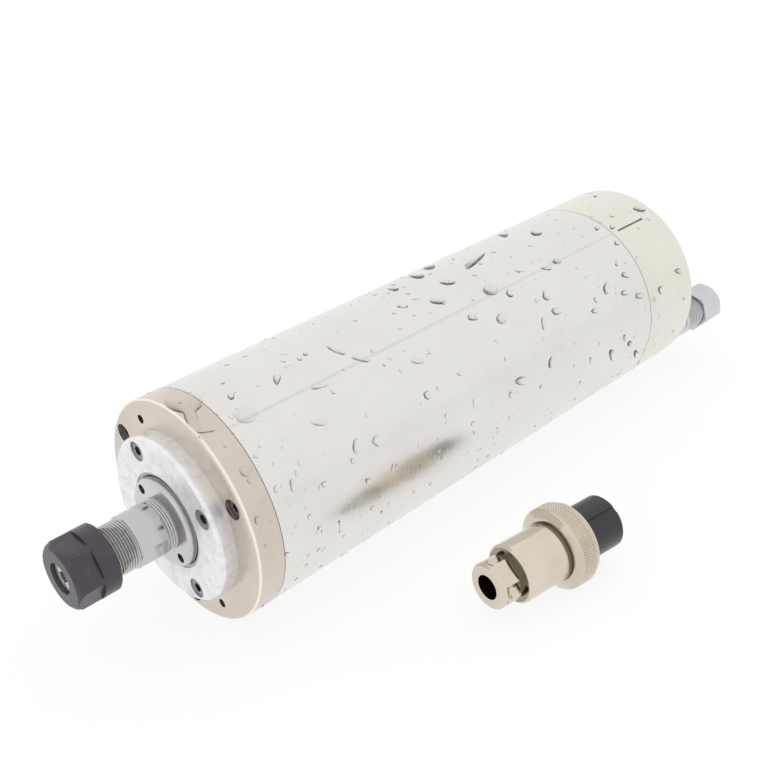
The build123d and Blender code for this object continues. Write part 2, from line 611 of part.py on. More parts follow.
with BuildPart() as lock_ring:
    cylinder_at(-LOCK_RING_PROUD, LOCK_RING_PROUD - LOCK_RING_BACK, LOCK_RING_R)
    fillet(lock_ring.edges().group_by(Axis.X)[0], LOCK_RING_ROUND)
    cylinder_at(-LOCK_RING_BACK, LOCK_RING_BACK + COVER_SPIGOT, LOCK_RING_BOSS_R)
    cylinder_at(-LOCK_RING_PROUD, LOCK_RING_PROUD + COVER_SPIGOT, FRONT_BORE_R + SEAT, mode=Mode.SUBTRACT)
    holes(-LOCK_RING_PROUD, PIN_HOLE_DEPTH, PIN_HOLE_R, PIN_CIRCLE_R, 2, PIN_ANGLE)
save(lock_ring.part, "lock_ring")

with BuildPart() as rear_lock_nut:
    with BuildSketch(across(REAR_BEARING_END)) as section:
        Circle(REAR_NUT_R)
        Circle(REAR_BORE_R + SEAT, mode=Mode.SUBTRACT)
        with PolarLocations(REAR_NUT_R, REAR_NUT_NOTCHES):
            Rectangle(REAR_NUT_NOTCH, REAR_NUT_NOTCH, mode=Mode.SUBTRACT)
    extrude(section.sketch, amount=REAR_NUT_LENGTH)
save(rear_lock_nut.part, "rear_lock_nut")

# ================================================================ collet and its nut
collet_front = CLAMP_NUT_FRONT + COLLET_RECESS
collet_rear = collet_front + COLLET_LENGTH
cone = tan(radians(COLLET_CONE))
flange_start = -NOSE_LENGTH - NUT_CENTRE_GAP - COLLET_LAND
cone_start = flange_start - (COLLET_FLANGE_R - COLLET_FACE_R) / cone


def taper_r(x):
    """Radius of the shaft's collet taper at station x."""
    return COLLET_MOUTH_R - (x + NOSE_LENGTH) * TAPER


with BuildPart() as collet:
    taper_front = flange_start + COLLET_LAND
    revolve(outline([
        (collet_front, 0), (collet_front, COLLET_FACE_R), (cone_start, COLLET_FACE_R),
        (flange_start, COLLET_FLANGE_R), (taper_front, COLLET_FLANGE_R), (taper_front, COLLET_MOUTH_R - RUN),
        (-NOSE_LENGTH, COLLET_MOUTH_R - RUN), (collet_rear, taper_r(collet_rear) - RUN), (collet_rear, 0),
    ]), axis=Axis.X)
    cylinder_at(collet_front, COLLET_LENGTH, COLLET_BORE_R, mode=Mode.SUBTRACT)
    for start, angle in (
        (collet_front, 0),
        (collet_rear - SLIT_LENGTH, 180 / COLLET_SLITS),
    ):
        with BuildSketch(across(start)) as slits:
            with PolarLocations(COLLET_FLANGE_R / 2 + COLLET_BORE_R / 2, COLLET_SLITS, start_angle=angle):
                Rectangle(COLLET_FLANGE_R + COLLET_BORE_R, SLIT_WIDTH)
        extrude(slits.sketch, amount=SLIT_LENGTH, mode=Mode.SUBTRACT)
save(collet.part, "collet")

with BuildPart() as collet_nut:
    thread_start = -NOSE_LENGTH - NUT_CENTRE_GAP
    bore_r = NOSE_THREAD_R + RUN
    revolve(outline([
        (CLAMP_NUT_FRONT, CLAMP_NUT_MOUTH_R), (CLAMP_NUT_FRONT, CLAMP_NUT_FACE_R),
        (CLAMP_NUT_FRONT + CLAMP_NUT_SHOULDER, CLAMP_NUT_SHOULDER_R),
        (CLAMP_NUT_FRONT + CLAMP_NUT_NOSE, CLAMP_NUT_R), (CLAMP_NUT_REAR - CLAMP_NUT_CHAMFER, CLAMP_NUT_R),
        (CLAMP_NUT_REAR, CLAMP_NUT_R - CLAMP_NUT_CHAMFER), (CLAMP_NUT_REAR, bore_r),
        (thread_start, bore_r), (thread_start, COLLET_FLANGE_R + FACE_GAP),
        (flange_start - FACE_GAP / 2, COLLET_FLANGE_R + FACE_GAP),
        (flange_start - FACE_GAP / 2 - (COLLET_FLANGE_R + FACE_GAP - CLAMP_NUT_MOUTH_R) / cone,
         CLAMP_NUT_MOUTH_R),
    ]), axis=Axis.X)
    with BuildSketch(across(CLAMP_NUT_FRONT)) as flats:
        Circle(2 * CLAMP_NUT_R)
        RegularPolygon(CLAMP_NUT_AF / 2, 6, major_radius=False, rotation=CLAMP_NUT_ANGLE, mode=Mode.SUBTRACT)
    extrude(flats.sketch, amount=CLAMP_NUT_FLATS, mode=Mode.SUBTRACT)
save(collet_nut.part, "collet_nut")

# ================================================================ water fittings
nut_start = BODY_LENGTH + HOSE_NUT_START
nut_end = nut_start + HOSE_NUT_LENGTH
sleeve_start = FITTING_END + FACE_GAP
sleeve_end = sleeve_start + SLEEVE_LENGTH
hose_hole_r = HOSE_R + 2 * RUN
nut_bore_r = FITTING_R + RUN

for side, port_angle in PORT_ANGLES.items():
    port_y, port_z = point_on(PORT_CIRCLE_R, port_angle)
    port_plane = Plane(origin=(0, port_y, port_z), x_dir=(1, 0, 0), z_dir=(0, 0, 1))
    port_axis = Axis((0, port_y, port_z), (1, 0, 0))

    with BuildPart() as water_fitting:
        revolve(outline([
            (BODY_LENGTH - PORT_DEPTH, FITTING_BORE_R), (BODY_LENGTH - PORT_DEPTH, PORT_THREAD_R),
            (BODY_LENGTH, PORT_THREAD_R), (BODY_LENGTH, FITTING_R),
            (FITTING_END - FITTING_CHAMFER, FITTING_R), (FITTING_END, FITTING_R - FITTING_CHAMFER),
            (FITTING_END, FITTING_BORE_R),
        ], port_plane), axis=port_axis)
    save(water_fitting.part, f"water_fitting_{side}")

    with BuildPart() as hose_sleeve:
        revolve(outline([
            (sleeve_start, hose_hole_r), (sleeve_start, hose_hole_r + SLEEVE_WALL),
            (sleeve_end - SLEEVE_WALL, hose_hole_r + SLEEVE_WALL), (sleeve_end, hose_hole_r + SLEEVE_EDGE),
            (sleeve_end, hose_hole_r),
        ], port_plane), axis=port_axis)
    save(hose_sleeve.part, f"hose_sleeve_{side}")

    with BuildPart() as hose_nut:
        with BuildSketch(across(nut_start)) as hexagon:
            with Locations((port_y, port_z)):
                RegularPolygon(HOSE_NUT_AF / 2, 6, major_radius=False, rotation=HOSE_NUT_ANGLE)
        extrude(hexagon.sketch, amount=HOSE_NUT_LENGTH)
        crown_r = HOSE_NUT_AF / sqrt(3)
        exit_r = hose_hole_r + SLEEVE_EDGE + RUN
        revolve(outline([
            (nut_start, 0), (nut_start, crown_r - HOSE_NUT_CHAMFER),
            (nut_start + HOSE_NUT_CHAMFER, crown_r),
            (nut_end - HOSE_NUT_DOME, crown_r), (nut_end - HOSE_NUT_DOME / 4, exit_r + 2 * HOSE_NUT_LIP),
            (nut_end, exit_r + HOSE_NUT_LIP), (nut_end, 0),
        ], port_plane), axis=port_axis, mode=Mode.INTERSECT)
        revolve(outline([
            (nut_start, 0), (nut_start, nut_bore_r), (sleeve_end - SLEEVE_WALL, nut_bore_r),
            (sleeve_end - SLEEVE_WALL + nut_bore_r - exit_r + FACE_GAP, exit_r), (nut_end, exit_r),
            (nut_end, 0),
        ], port_plane), axis=port_axis, mode=Mode.SUBTRACT)
    save(hose_nut.part, f"hose_nut_{side}")

# ================================================================ power socket
socket_end = BODY_LENGTH + SOCKET_LENGTH
insert_face = socket_end - INSERT_DEPTH

with BuildPart() as socket_shell:
    neck_start = CAP_FLOOR - SOCKET_NUT - SOCKET_OVERRUN
    cylinder_at(neck_start, socket_end - neck_start, CONNECTOR_R)
    cylinder_at(BODY_LENGTH, SOCKET_FLANGE, SOCKET_FLANGE_R)
    cylinder_at(neck_start, socket_end - neck_start, SOCKET_BORE_R, mode=Mode.SUBTRACT)
save(socket_shell.part, "socket_shell")

with BuildPart() as socket_insert:
    cylinder_at(neck_start, insert_face - neck_start, SOCKET_BORE_R - SEAT)
    holes(neck_start, insert_face - neck_start, PIN_R + SEAT, CONTACT_CIRCLE_R, PINS, PIN_START_ANGLE)
save(socket_insert.part, "socket_insert")

with BuildPart() as socket_pins:
    pin_start = neck_start - PIN_TAIL
    holes(pin_start, insert_face + PIN_PROUD - pin_start, PIN_R, CONTACT_CIRCLE_R, PINS,
          PIN_START_ANGLE, mode=Mode.ADD)
save(socket_pins.part, "socket_pins")

with BuildPart() as socket_nut:
    with BuildSketch(across(CAP_FLOOR - SOCKET_NUT)) as hexagon:
        RegularPolygon(SOCKET_NUT_AF / 2, 6, major_radius=False)
        Circle(CONNECTOR_R + SEAT, mode=Mode.SUBTRACT)
    extrude(hexagon.sketch, amount=SOCKET_NUT)
save(socket_nut.part, "socket_nut")

# ================================================================ loose plug
plug_origin = Vector(PLUG_X, PLUG_Y, PLUG_RING_R - BODY_R)
plug_dir = Vector(cos(radians(PLUG_YAW)), sin(radians(PLUG_YAW)), 0)
plug_side = Vector(-sin(radians(PLUG_YAW)), cos(radians(PLUG_YAW)), 0)
plug_half_section = Plane(origin=plug_origin, x_dir=plug_dir, z_dir=plug_dir.cross(Vector(0, 0, 1)))
plug_axis = Axis(plug_origin, plug_dir)


def plug_at(s):
    """Cross-section plane of the plug at station s, square to its own axis."""
    return Plane(origin=plug_origin + plug_dir * s, x_dir=plug_side, z_dir=plug_dir)


def plug_turn(points, mode=Mode.ADD):
    """Turned form about the plug's axis from (station, radius) points."""
    revolve(outline(points, plug_half_section), axis=plug_axis, mode=mode)


saddle_up = plug_side * cos(radians(SADDLE_ANGLE)) + Vector(0, 0, 1) * sin(radians(SADDLE_ANGLE))
saddle_middle = (PLUG_TAIL_START + PLUG_TAIL_RING + PLUG_BODY_START - PLUG_NECK) / 2
saddle_length = PLUG_BODY_START - PLUG_NECK - PLUG_TAIL_START - PLUG_TAIL_RING
saddle_start = PLUG_TAIL_START + PLUG_TAIL_RING


def saddle_plane(height):
    """Plane across the cable clamp, square to its screws, at a height above the axis."""
    origin = plug_origin + plug_dir * saddle_middle + saddle_up * height
    return Plane(origin=origin, x_dir=plug_dir, z_dir=saddle_up)


with BuildPart() as plug_shell:
    screw_hole_depth = SADDLE_SCREW_LENGTH - (SADDLE_WING - SADDLE_SEAT) + FACE_GAP
    collar_end = PLUG_COLLAR_START + PLUG_COLLAR
    plug_turn([
        (PLUG_TAIL_START, CABLE_R), (PLUG_TAIL_START, PLUG_TAIL_R - PLUG_TAIL_CHAMFER),
        (PLUG_TAIL_START + PLUG_TAIL_CHAMFER, PLUG_TAIL_R),
        (PLUG_BODY_START - PLUG_NECK, PLUG_TAIL_R), (PLUG_BODY_START - PLUG_NECK, PLUG_NECK_R),
        (PLUG_BODY_START, PLUG_NECK_R), (PLUG_BODY_START, PLUG_BODY_R - PLUG_BODY_CHAMFER),
        (PLUG_BODY_START + PLUG_BODY_CHAMFER, PLUG_BODY_R),
        (PLUG_RING_LIP, PLUG_BODY_R), (PLUG_RING_LIP, PLUG_NECK_FRONT_R),
        (PLUG_COLLAR_START, PLUG_NECK_FRONT_R), (PLUG_COLLAR_START, CONNECTOR_R - RUN),
        (collar_end, CONNECTOR_R - RUN), (collar_end, PLUG_CAVITY_R),
        (PLUG_CAVITY_START, PLUG_CAVITY_R), (PLUG_CAVITY_START - PLUG_CAVITY_CONE, CABLE_R),
    ])
    with BuildSketch(saddle_plane(SADDLE_SEAT)) as seat:
        Rectangle(saddle_length, 4 * PLUG_TAIL_R)
    extrude(seat.sketch, amount=2 * PLUG_TAIL_R, mode=Mode.SUBTRACT)
    with BuildSketch(saddle_plane(SADDLE_SEAT)) as screw_holes:
        with GridLocations(0, 2 * SADDLE_SCREW_SPREAD, 1, 2):
            Circle(SADDLE_SCREW_R + SEAT)
    extrude(screw_holes.sketch, amount=-screw_hole_depth, mode=Mode.SUBTRACT)
save(plug_shell.part, "plug_shell")

wing_edge = SADDLE_HEAD_R + SADDLE_GAP

with BuildPart() as plug_saddle:
    with BuildSketch(plug_at(saddle_start + SADDLE_GAP)) as section:
        Circle(PLUG_TAIL_R)
        Circle(CABLE_R, mode=Mode.SUBTRACT)
    extrude(section.sketch, amount=saddle_length - 2 * SADDLE_GAP)
    with BuildSketch(saddle_plane(SADDLE_SEAT + SADDLE_GAP)) as below:
        Rectangle(2 * saddle_length, 4 * PLUG_TAIL_R)
    extrude(below.sketch, amount=-4 * PLUG_TAIL_R, mode=Mode.SUBTRACT)
    with BuildSketch(saddle_plane(SADDLE_TOP)) as above:
        Rectangle(2 * saddle_length, 4 * PLUG_TAIL_R)
    extrude(above.sketch, amount=2 * PLUG_TAIL_R, mode=Mode.SUBTRACT)
    with BuildSketch(saddle_plane(SADDLE_WING)) as wings:
        with GridLocations(0, 2 * (SADDLE_SCREW_SPREAD - wing_edge + PLUG_TAIL_R), 1, 2):
            Rectangle(2 * saddle_length, 2 * PLUG_TAIL_R)
    extrude(wings.sketch, amount=2 * PLUG_TAIL_R, mode=Mode.SUBTRACT)
    with BuildSketch(saddle_plane(0)) as screw_holes:
        with GridLocations(0, 2 * SADDLE_SCREW_SPREAD, 1, 2):
            Circle(SADDLE_SCREW_R + SEAT)
    extrude(screw_holes.sketch, amount=2 * PLUG_TAIL_R, mode=Mode.SUBTRACT)
save(plug_saddle.part, "plug_saddle")

with BuildPart() as plug_clamp_screws:
    with BuildSketch(saddle_plane(SADDLE_WING)) as shanks:
        with GridLocations(0, 2 * SADDLE_SCREW_SPREAD, 1, 2):
            Circle(SADDLE_SCREW_R)
    extrude(shanks.sketch, amount=-SADDLE_SCREW_LENGTH)
    with BuildSketch(saddle_plane(SADDLE_WING)) as heads:
        with GridLocations(0, 2 * SADDLE_SCREW_SPREAD, 1, 2):
            Circle(SADDLE_HEAD_R)
    extrude(heads.sketch, amount=SADDLE_HEAD)
    with BuildSketch(saddle_plane(SADDLE_WING + SADDLE_HEAD)) as slots:
        with GridLocations(0, 2 * SADDLE_SCREW_SPREAD, 1, 2):
            Rectangle(3 * SADDLE_HEAD_R, SADDLE_SLOT)
    extrude(slots.sketch, amount=-SADDLE_HEAD / 2, mode=Mode.SUBTRACT)
save(plug_clamp_screws.part, "plug_clamp_screws")

with BuildPart() as plug_ring_washer:
    plug_turn([
        (PLUG_RING_LIP, PLUG_NECK_FRONT_R + RUN), (PLUG_RING_LIP, CONNECTOR_R - RUN),
        (PLUG_RING_LIP + WASHER_THICKNESS, CONNECTOR_R - RUN),
        (PLUG_RING_LIP + WASHER_THICKNESS, PLUG_NECK_FRONT_R + RUN),
    ])
save(plug_ring_washer.part, "plug_ring_washer")

with BuildPart() as plug_coupling_ring:
    ring_bore_r = CONNECTOR_R + RUN
    lip_end = PLUG_RING_LIP - FACE_GAP
    flange_at = PLUG_RING_LENGTH - PLUG_RING_FLANGE
    groove_at = flange_at - PLUG_RING_GROOVE
    plug_turn([
        (0, PLUG_BODY_R + RUN), (0, PLUG_RING_EDGE_R), (PLUG_RING_BEVEL, PLUG_RING_R),
        (groove_at, PLUG_RING_R), (groove_at, PLUG_RING_GROOVE_R), (flange_at, PLUG_RING_GROOVE_R),
        (flange_at, PLUG_RING_FLANGE_R), (PLUG_RING_LENGTH - PLUG_RING_FLANGE_CHAMFER, PLUG_RING_FLANGE_R),
        (PLUG_RING_LENGTH, PLUG_RING_FLANGE_R - PLUG_RING_FLANGE_CHAMFER), (PLUG_RING_LENGTH, ring_bore_r),
        (lip_end, ring_bore_r), (lip_end, PLUG_BODY_R + RUN),
    ])
save(plug_coupling_ring.part, "plug_coupling_ring")

with BuildPart() as plug_insert:
    plug_turn([
        (collar_end, 0), (collar_end, INSERT_R), (INSERT_END - INSERT_CHAMFER, INSERT_R),
        (INSERT_END, INSERT_R - INSERT_CHAMFER), (INSERT_END, 0),
    ])
    with BuildSketch(plug_at(INSERT_END)) as openings:
        with PolarLocations(CONTACT_CIRCLE_R, PINS, start_angle=PIN_START_ANGLE):
            Circle(CONTACT_R + SEAT)
        with PolarLocations(INSERT_R, 1, start_angle=SADDLE_ANGLE):
            Rectangle(2 * KEY_HEIGHT, KEY_WIDTH)
    extrude(openings.sketch, amount=collar_end - INSERT_END, mode=Mode.SUBTRACT)
save(plug_insert.part, "plug_insert")

with BuildPart() as plug_contacts:
    contact_end = INSERT_END - CONTACT_RECESS
    with BuildSketch(plug_at(contact_end)) as tubes:
        with PolarLocations(CONTACT_CIRCLE_R, PINS, start_angle=PIN_START_ANGLE):
            Circle(CONTACT_R)
            Circle(PIN_R + RUN, mode=Mode.SUBTRACT)
    extrude(tubes.sketch, amount=-CONTACT_LENGTH)
save(plug_contacts.part, "plug_contacts")
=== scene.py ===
"""Dresses a water-cooled motor spindle and its loose round plug: threads, knurling, water drops,
metal finishes and a pale studio. Every length in this file is in millimetres until it reaches a mesh."""

from math import cos, pi, radians, sin

import bpy
import numpy as np
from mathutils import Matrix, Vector


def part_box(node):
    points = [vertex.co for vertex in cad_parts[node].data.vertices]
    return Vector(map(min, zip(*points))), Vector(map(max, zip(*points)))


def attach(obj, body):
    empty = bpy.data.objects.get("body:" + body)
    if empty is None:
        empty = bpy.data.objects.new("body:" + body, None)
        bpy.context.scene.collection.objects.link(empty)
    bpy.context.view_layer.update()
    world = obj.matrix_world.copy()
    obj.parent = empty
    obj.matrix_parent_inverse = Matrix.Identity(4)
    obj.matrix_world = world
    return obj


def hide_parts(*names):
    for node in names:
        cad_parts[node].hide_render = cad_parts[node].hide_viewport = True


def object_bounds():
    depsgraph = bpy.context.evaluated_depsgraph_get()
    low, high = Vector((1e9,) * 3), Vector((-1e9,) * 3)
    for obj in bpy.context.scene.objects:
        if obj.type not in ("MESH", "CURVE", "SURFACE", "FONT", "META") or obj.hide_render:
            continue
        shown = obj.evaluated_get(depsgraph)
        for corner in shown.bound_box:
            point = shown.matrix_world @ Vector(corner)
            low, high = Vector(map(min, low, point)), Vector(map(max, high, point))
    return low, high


bl_info = {
    "name": "Motor spindle",
    "version": (1, 0, 0),
    "blender": (4, 5, 0),
    "location": "3D View > Sidebar > Spindle",
    "description": "Threads, knurling, drops, finishes and studio of a water-cooled motor spindle",
    "category": "Object",
}

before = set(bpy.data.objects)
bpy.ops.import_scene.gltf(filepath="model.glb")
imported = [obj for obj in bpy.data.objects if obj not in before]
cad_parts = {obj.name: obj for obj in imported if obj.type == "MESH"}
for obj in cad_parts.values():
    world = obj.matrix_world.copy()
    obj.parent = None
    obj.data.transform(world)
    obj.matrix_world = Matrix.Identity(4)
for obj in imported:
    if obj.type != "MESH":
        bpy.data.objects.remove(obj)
CAD_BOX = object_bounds()
MM = 0.001
TURN = 2 * pi


def node_span(node, axis=0):
    """Lowest and highest place of a CAD node along one axis, in millimetres."""
    low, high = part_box(node)
    return low[axis] / MM, high[axis] / MM


BODY_R = node_span("outer_tube", 2)[1]
BODY_END = node_span("rear_cap")[1]
PORTS = {
    side: ((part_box(f"water_fitting_{side}")[0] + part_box(f"water_fitting_{side}")[1]) / 2 / MM)
    for side in ("left", "right")
}

# The plug's coupling ring lies on the floor, as the body does, whose axis stands at a height over it. The
# plug's point is where its axis has station 0.
RING_R, AXIS_HEIGHT = 12.4, 32.5
PLUG_YAW = radians(-6.6)
PLUG_POINT = np.array([75.5, -65.1, RING_R - AXIS_HEIGHT])
PLUG_ALONG = np.array([cos(PLUG_YAW), sin(PLUG_YAW), 0.0])
PLUG_ACROSS = np.array([-sin(PLUG_YAW), cos(PLUG_YAW), 0.0])
UP = np.array([0.0, 0.0, 1.0])

# The shaft's nose: stations along the axis, and the radii of its two threads.
NOSE_END, NOSE_R, SEAT_R = -31.5, 7.0, 7.5
NOSE_THREAD, FLATS, LOCK_THREAD = (-31.1, -17.5), (-16.8, -9.6), (-9.0, -6.4)

# The camera: width, focal length and optical centre in pixels, and where it stands and looks.
PICTURE, FOCAL, OPTICAL_CENTRE = 768, 1090.37, (391.89, 381.49)
SENSOR = 36.0
CAMERA_AT = (-0.11777, -0.19942, 0.18675)
CAMERA_YAW, CAMERA_PITCH = radians(45.48), radians(-32.88)


# ---------------------------------------------------------------- sizes and colours


def length(name, description, default, low=0.0, high=100.0):
    """A length property in millimetres, kept as a plain number."""
    return bpy.props.FloatProperty(
        name=name, description=description, default=default, min=low, max=high, precision=3
    )


def share(name, description, default, high=1.0):
    """A plain factor from 0 up to its highest value."""
    return bpy.props.FloatProperty(
        name=name, description=description, default=default, min=0.0, max=high, subtype="FACTOR"
    )


def colour(name, description, default):
    """A linear colour property."""
    return bpy.props.FloatVectorProperty(
        name=name, description=description, default=default, min=0.0, max=1.0, size=3, subtype="COLOR"
    )


class SpindleSizes(bpy.types.PropertyGroup):
    """Sizes of the pieces that are made here."""

    nose_pitch: length("Nose thread pitch", "Pitch of the thread for the collet nut, mm", 0.75, 0.3, 2.0)
    lock_pitch: length(
        "Lock ring thread pitch", "Pitch of the thread behind the wrench flats, mm", 0.75, 0.3, 2.0
    )
    hose_pitch: length("Hose fitting pitch", "Pitch of the thread under a hose nut, mm", 1.0, 0.3, 2.0)
    socket_pitch: length("Socket pitch", "Pitch of the thread on the power socket, mm", 0.75, 0.3, 2.0)
    thread_share: share("Thread depth", "Depth of a thread as a share of its pitch", 0.48)
    knurl_count: bpy.props.IntProperty(
        name="Knurl ridges", description="Diamonds round the coupling ring", default=86, min=24, max=160
    )
    knurl_depth: length("Knurl depth", "Depth of the diamond knurl, mm", 0.36, 0.05, 0.8)
    drop_angle: bpy.props.FloatProperty(
        name="Drop edge angle", description="Angle at which a water drop meets the metal",
        default=radians(34), min=radians(15), max=radians(85), subtype="ANGLE",
    )
    fine_drops: bpy.props.IntProperty(
        name="Fine drops", description="Number of small drops scattered over the body",
        default=1500, min=0, max=2500,
    )
    floor_radius: bpy.props.FloatProperty(
        name="Floor radius", description="Radius of the pale floor", default=0.7, min=0.3, max=3.0,
        subtype="DISTANCE", unit="LENGTH",
    )


class SpindleColours(bpy.types.PropertyGroup):
    """Colours of the finishes."""

    tube: colour("Tube", "Brushed stainless steel tube", (0.80, 0.782, 0.75))
    nickel: colour("Nickel", "Satin nickel of the front flange", (0.68, 0.615, 0.54))
    cap: colour("Cap", "Paler satin nickel of the rear cap", (0.82, 0.785, 0.71))
    cover: colour("Cover", "Bare turned aluminium of the bearing cover", (0.93, 0.915, 0.915))
    frost: colour("Frost", "Blue-grey patches on the bearing cover", (0.70, 0.72, 0.745))
    shaft: colour("Shaft", "Ground steel of the shaft", (0.56, 0.55, 0.545))
    black: colour("Black oxide", "Blackened steel of the collet nut and screws", (0.075, 0.065, 0.08))
    chrome: colour("Chrome", "Bright plate of the hose fittings", (0.66, 0.66, 0.69))
    plug: colour("Plug", "Warm bright nickel of the round plug", (0.74, 0.67, 0.56))
    insert: colour("Insert", "Black moulded insert", (0.035, 0.033, 0.038))
    brass: colour("Brass", "Turned brass", (0.72, 0.52, 0.22))
    copper: colour("Copper", "Varnished copper wire", (0.62, 0.25, 0.09))
    core: colour("Core", "Stacked electrical steel", (0.20, 0.21, 0.23))
    rubber: colour("Rubber", "Black seal rubber", (0.02, 0.02, 0.02))
    paper: colour("Paper", "Floor and background", (1.0, 1.0, 1.0))


# ---------------------------------------------------------------- shader nodes


class Signal:
    """One output of a shader graph. Sums, differences, products and quotients add Math nodes."""

    def __init__(self, graph, socket):
        self.graph, self.socket = graph, socket

    def maths(self, operation, first, second):
        return self.graph.node("ShaderNodeMath", {"operation": operation}, {0: first, 1: second})

    def __add__(self, other):
        return self.maths("ADD", self, other)

    def __sub__(self, other):
        return self.maths("SUBTRACT", self, other)

    def __rsub__(self, other):
        return self.maths("SUBTRACT", other, self)

    def __mul__(self, other):
        return self.maths("MULTIPLY", self, other)

    def __truediv__(self, other):
        return self.maths("DIVIDE", self, other)

    __radd__, __rmul__ = __add__, __mul__


class Graph:
    """The nodes of one material or of the world, added through a single method."""

    def __init__(self, owner):
        owner.use_nodes = True
        self.tree = owner.node_tree
        self.tree.nodes.clear()

    def node(self, kind, settings=None, inputs=None, output=0):
        """Adds a node: first its settings, then its sockets' values or links. Returns one of its outputs."""
        made = self.tree.nodes.new(kind)
        for key, value in (settings or {}).items():
            if key == "stops":
                ends = made.color_ramp.elements
                first, last = ends[0], ends[-1]
                first.position, last.position = value[0][0], value[-1][0]
                for place, _ in value[1:-1]:
                    ends.new(place)
                for element, (_, tint) in zip(sorted(ends, key=lambda e: e.position), value):
                    element.color = (*tint, 1.0) if hasattr(tint, "__len__") else (tint, tint, tint, 1.0)
            else:
                setattr(made, key, value)
        for key, value in (inputs or {}).items():
            if isinstance(value, Signal):
                self.tree.links.new(value.socket, made.inputs[key])
            else:
                made.inputs[key].default_value = value
        return Signal(self, made.outputs[output]) if made.outputs else made

    def place(self, origin=(0, 0, 0), turn=0.0):
        """Object coordinates in metres seen from a turned axis: x along it, y and z across it."""
        here = self.node("ShaderNodeTexCoord", {}, {}, "Object")
        return self.node(
            "ShaderNodeMapping", {"vector_type": "TEXTURE"},
            {"Vector": here, "Location": tuple(float(v) * MM for v in origin), "Rotation": (0, 0, turn)},
        )

    def parts(self, vector):
        """The x, y and z of a vector."""
        split = self.node("ShaderNodeSeparateXYZ", {}, {0: vector})
        return [Signal(self, socket) for socket in split.socket.node.outputs]

    def vector(self, x, y, z):
        return self.node("ShaderNodeCombineXYZ", {}, {0: x, 1: y, 2: z})

    def maths(self, operation, first, second=0.0):
        return self.node("ShaderNodeMath", {"operation": operation}, {0: first, 1: second})

    def noise(self, vector, scale, detail=2.0, roughness=0.5):
        return self.node(
            "ShaderNodeTexNoise", {},
            {"Vector": vector, "Scale": scale, "Detail": detail, "Roughness": roughness},
        )

    def ramp(self, value, low, high):
        """0 below low, 1 above high, straight between, clamped."""
        return self.node(
            "ShaderNodeMapRange", {"clamp": True},
            {"Value": value, "From Min": low, "From Max": high, "To Min": 0.0, "To Max": 1.0},
        )

    def blend(self, factor, first, second):
        """Mix of two colours by a factor."""
        def tint(value):
            return value if isinstance(value, Signal) else (*value, 1.0)

        return self.node(
            "ShaderNodeMix", {"data_type": "RGBA"}, {0: factor, 6: tint(first), 7: tint(second)}, 2
        )

    def bump(self, height, depth, strength=1.0, under=None):
        """Normal of a surface raised by height times depth, depth in millimetres."""
        inputs = {"Strength": strength, "Distance": depth * MM, "Height": height}
        if under is not None:
            inputs["Normal"] = under
        return self.node("ShaderNodeBump", {}, inputs)

    def background_rays(self):
        """1 for rays that see a background, from the camera, off metal or through water, and otherwise 0."""
        outputs = self.node("ShaderNodeLightPath").socket.node.outputs
        kinds = [Signal(self, outputs[f"Is {kind} Ray"]) for kind in ("Camera", "Glossy", "Transmission")]
        return self.maths("MINIMUM", kinds[0] + kinds[1] + kinds[2], 1.0)

    def principled(self, **inputs):
        """A Principled surface joined to the output. Underscores in names stand for spaces."""
        shader = self.node(
            "ShaderNodeBsdfPrincipled", {}, {key.replace("_", " "): value for key, value in inputs.items()}
        )
        self.node("ShaderNodeOutputMaterial", {}, {"Surface": shader})
        return shader


def dim(tint, factor):
    """A colour made darker or lighter by a factor, kept within 0 and 1."""
    return tuple(min(1.0, max(0.0, c * factor)) for c in tint)


def lathe_marks(g, x, y, z, tint, roughness, spread, lines, smudge, pits):
    """Colour, gloss and height of metal finished on a lathe. Fine grooves are noise stretched round the axis:
    it changes fast along the axis and away from it, and slowly across. Slow noise makes smudges in both."""
    out = g.maths("SQRT", y * y + z * z)
    fine = lines * 1000.0
    grooves = g.noise(g.vector(x * fine, out * fine, (y + z * 0.7) * 18.0), 1.0, 3.0, 0.6)
    broad = g.noise(g.vector(x * 60.0, out * 160.0, (y - z * 0.6) * 14.0), 1.0, 2.0)
    cloud = g.noise(g.vector(x, y, z), 55.0, 4.0, 0.55)
    shade = g.ramp(cloud, 0.35, 0.72) * smudge + g.ramp(broad, 0.3, 0.75) * smudge * 0.7
    base = g.blend(shade, tint, dim(tint, 0.35))
    height = grooves
    if pits:
        pit = g.ramp(g.noise(g.vector(x, y, z), 1400.0, 2.0, 0.6), 0.62, 0.78)
        base = g.blend(pit * pits, base, dim(tint, 0.3))
        height = grooves - pit * 2.0
    rough = roughness + (grooves - 0.5) * spread + g.ramp(cloud, 0.3, 0.75) * spread * 0.8
    return base, rough, height


def paint_hollow_shade(g, x, y, z, base, tint, hollows):
    """Painted shade in grooves, steps and recesses, where shade falls. Each hollow is a first and last
    station, the radius below which it is dark, and how far it darkens."""
    out = g.maths("SQRT", y * y + z * z) * 1000.0
    for start, end, radius, amount in hollows:
        low = 1 - g.ramp(out, radius - 0.25, radius - 0.06)
        inside = g.ramp(x * 1000.0, start, start + 0.1) * (1 - g.ramp(x * 1000.0, end - 0.1, end))
        # painted shade: inside each hollow the colour goes towards a dark copy of the tint
        base = g.blend(low * inside * amount, base, dim(tint, 0.15))
    return base


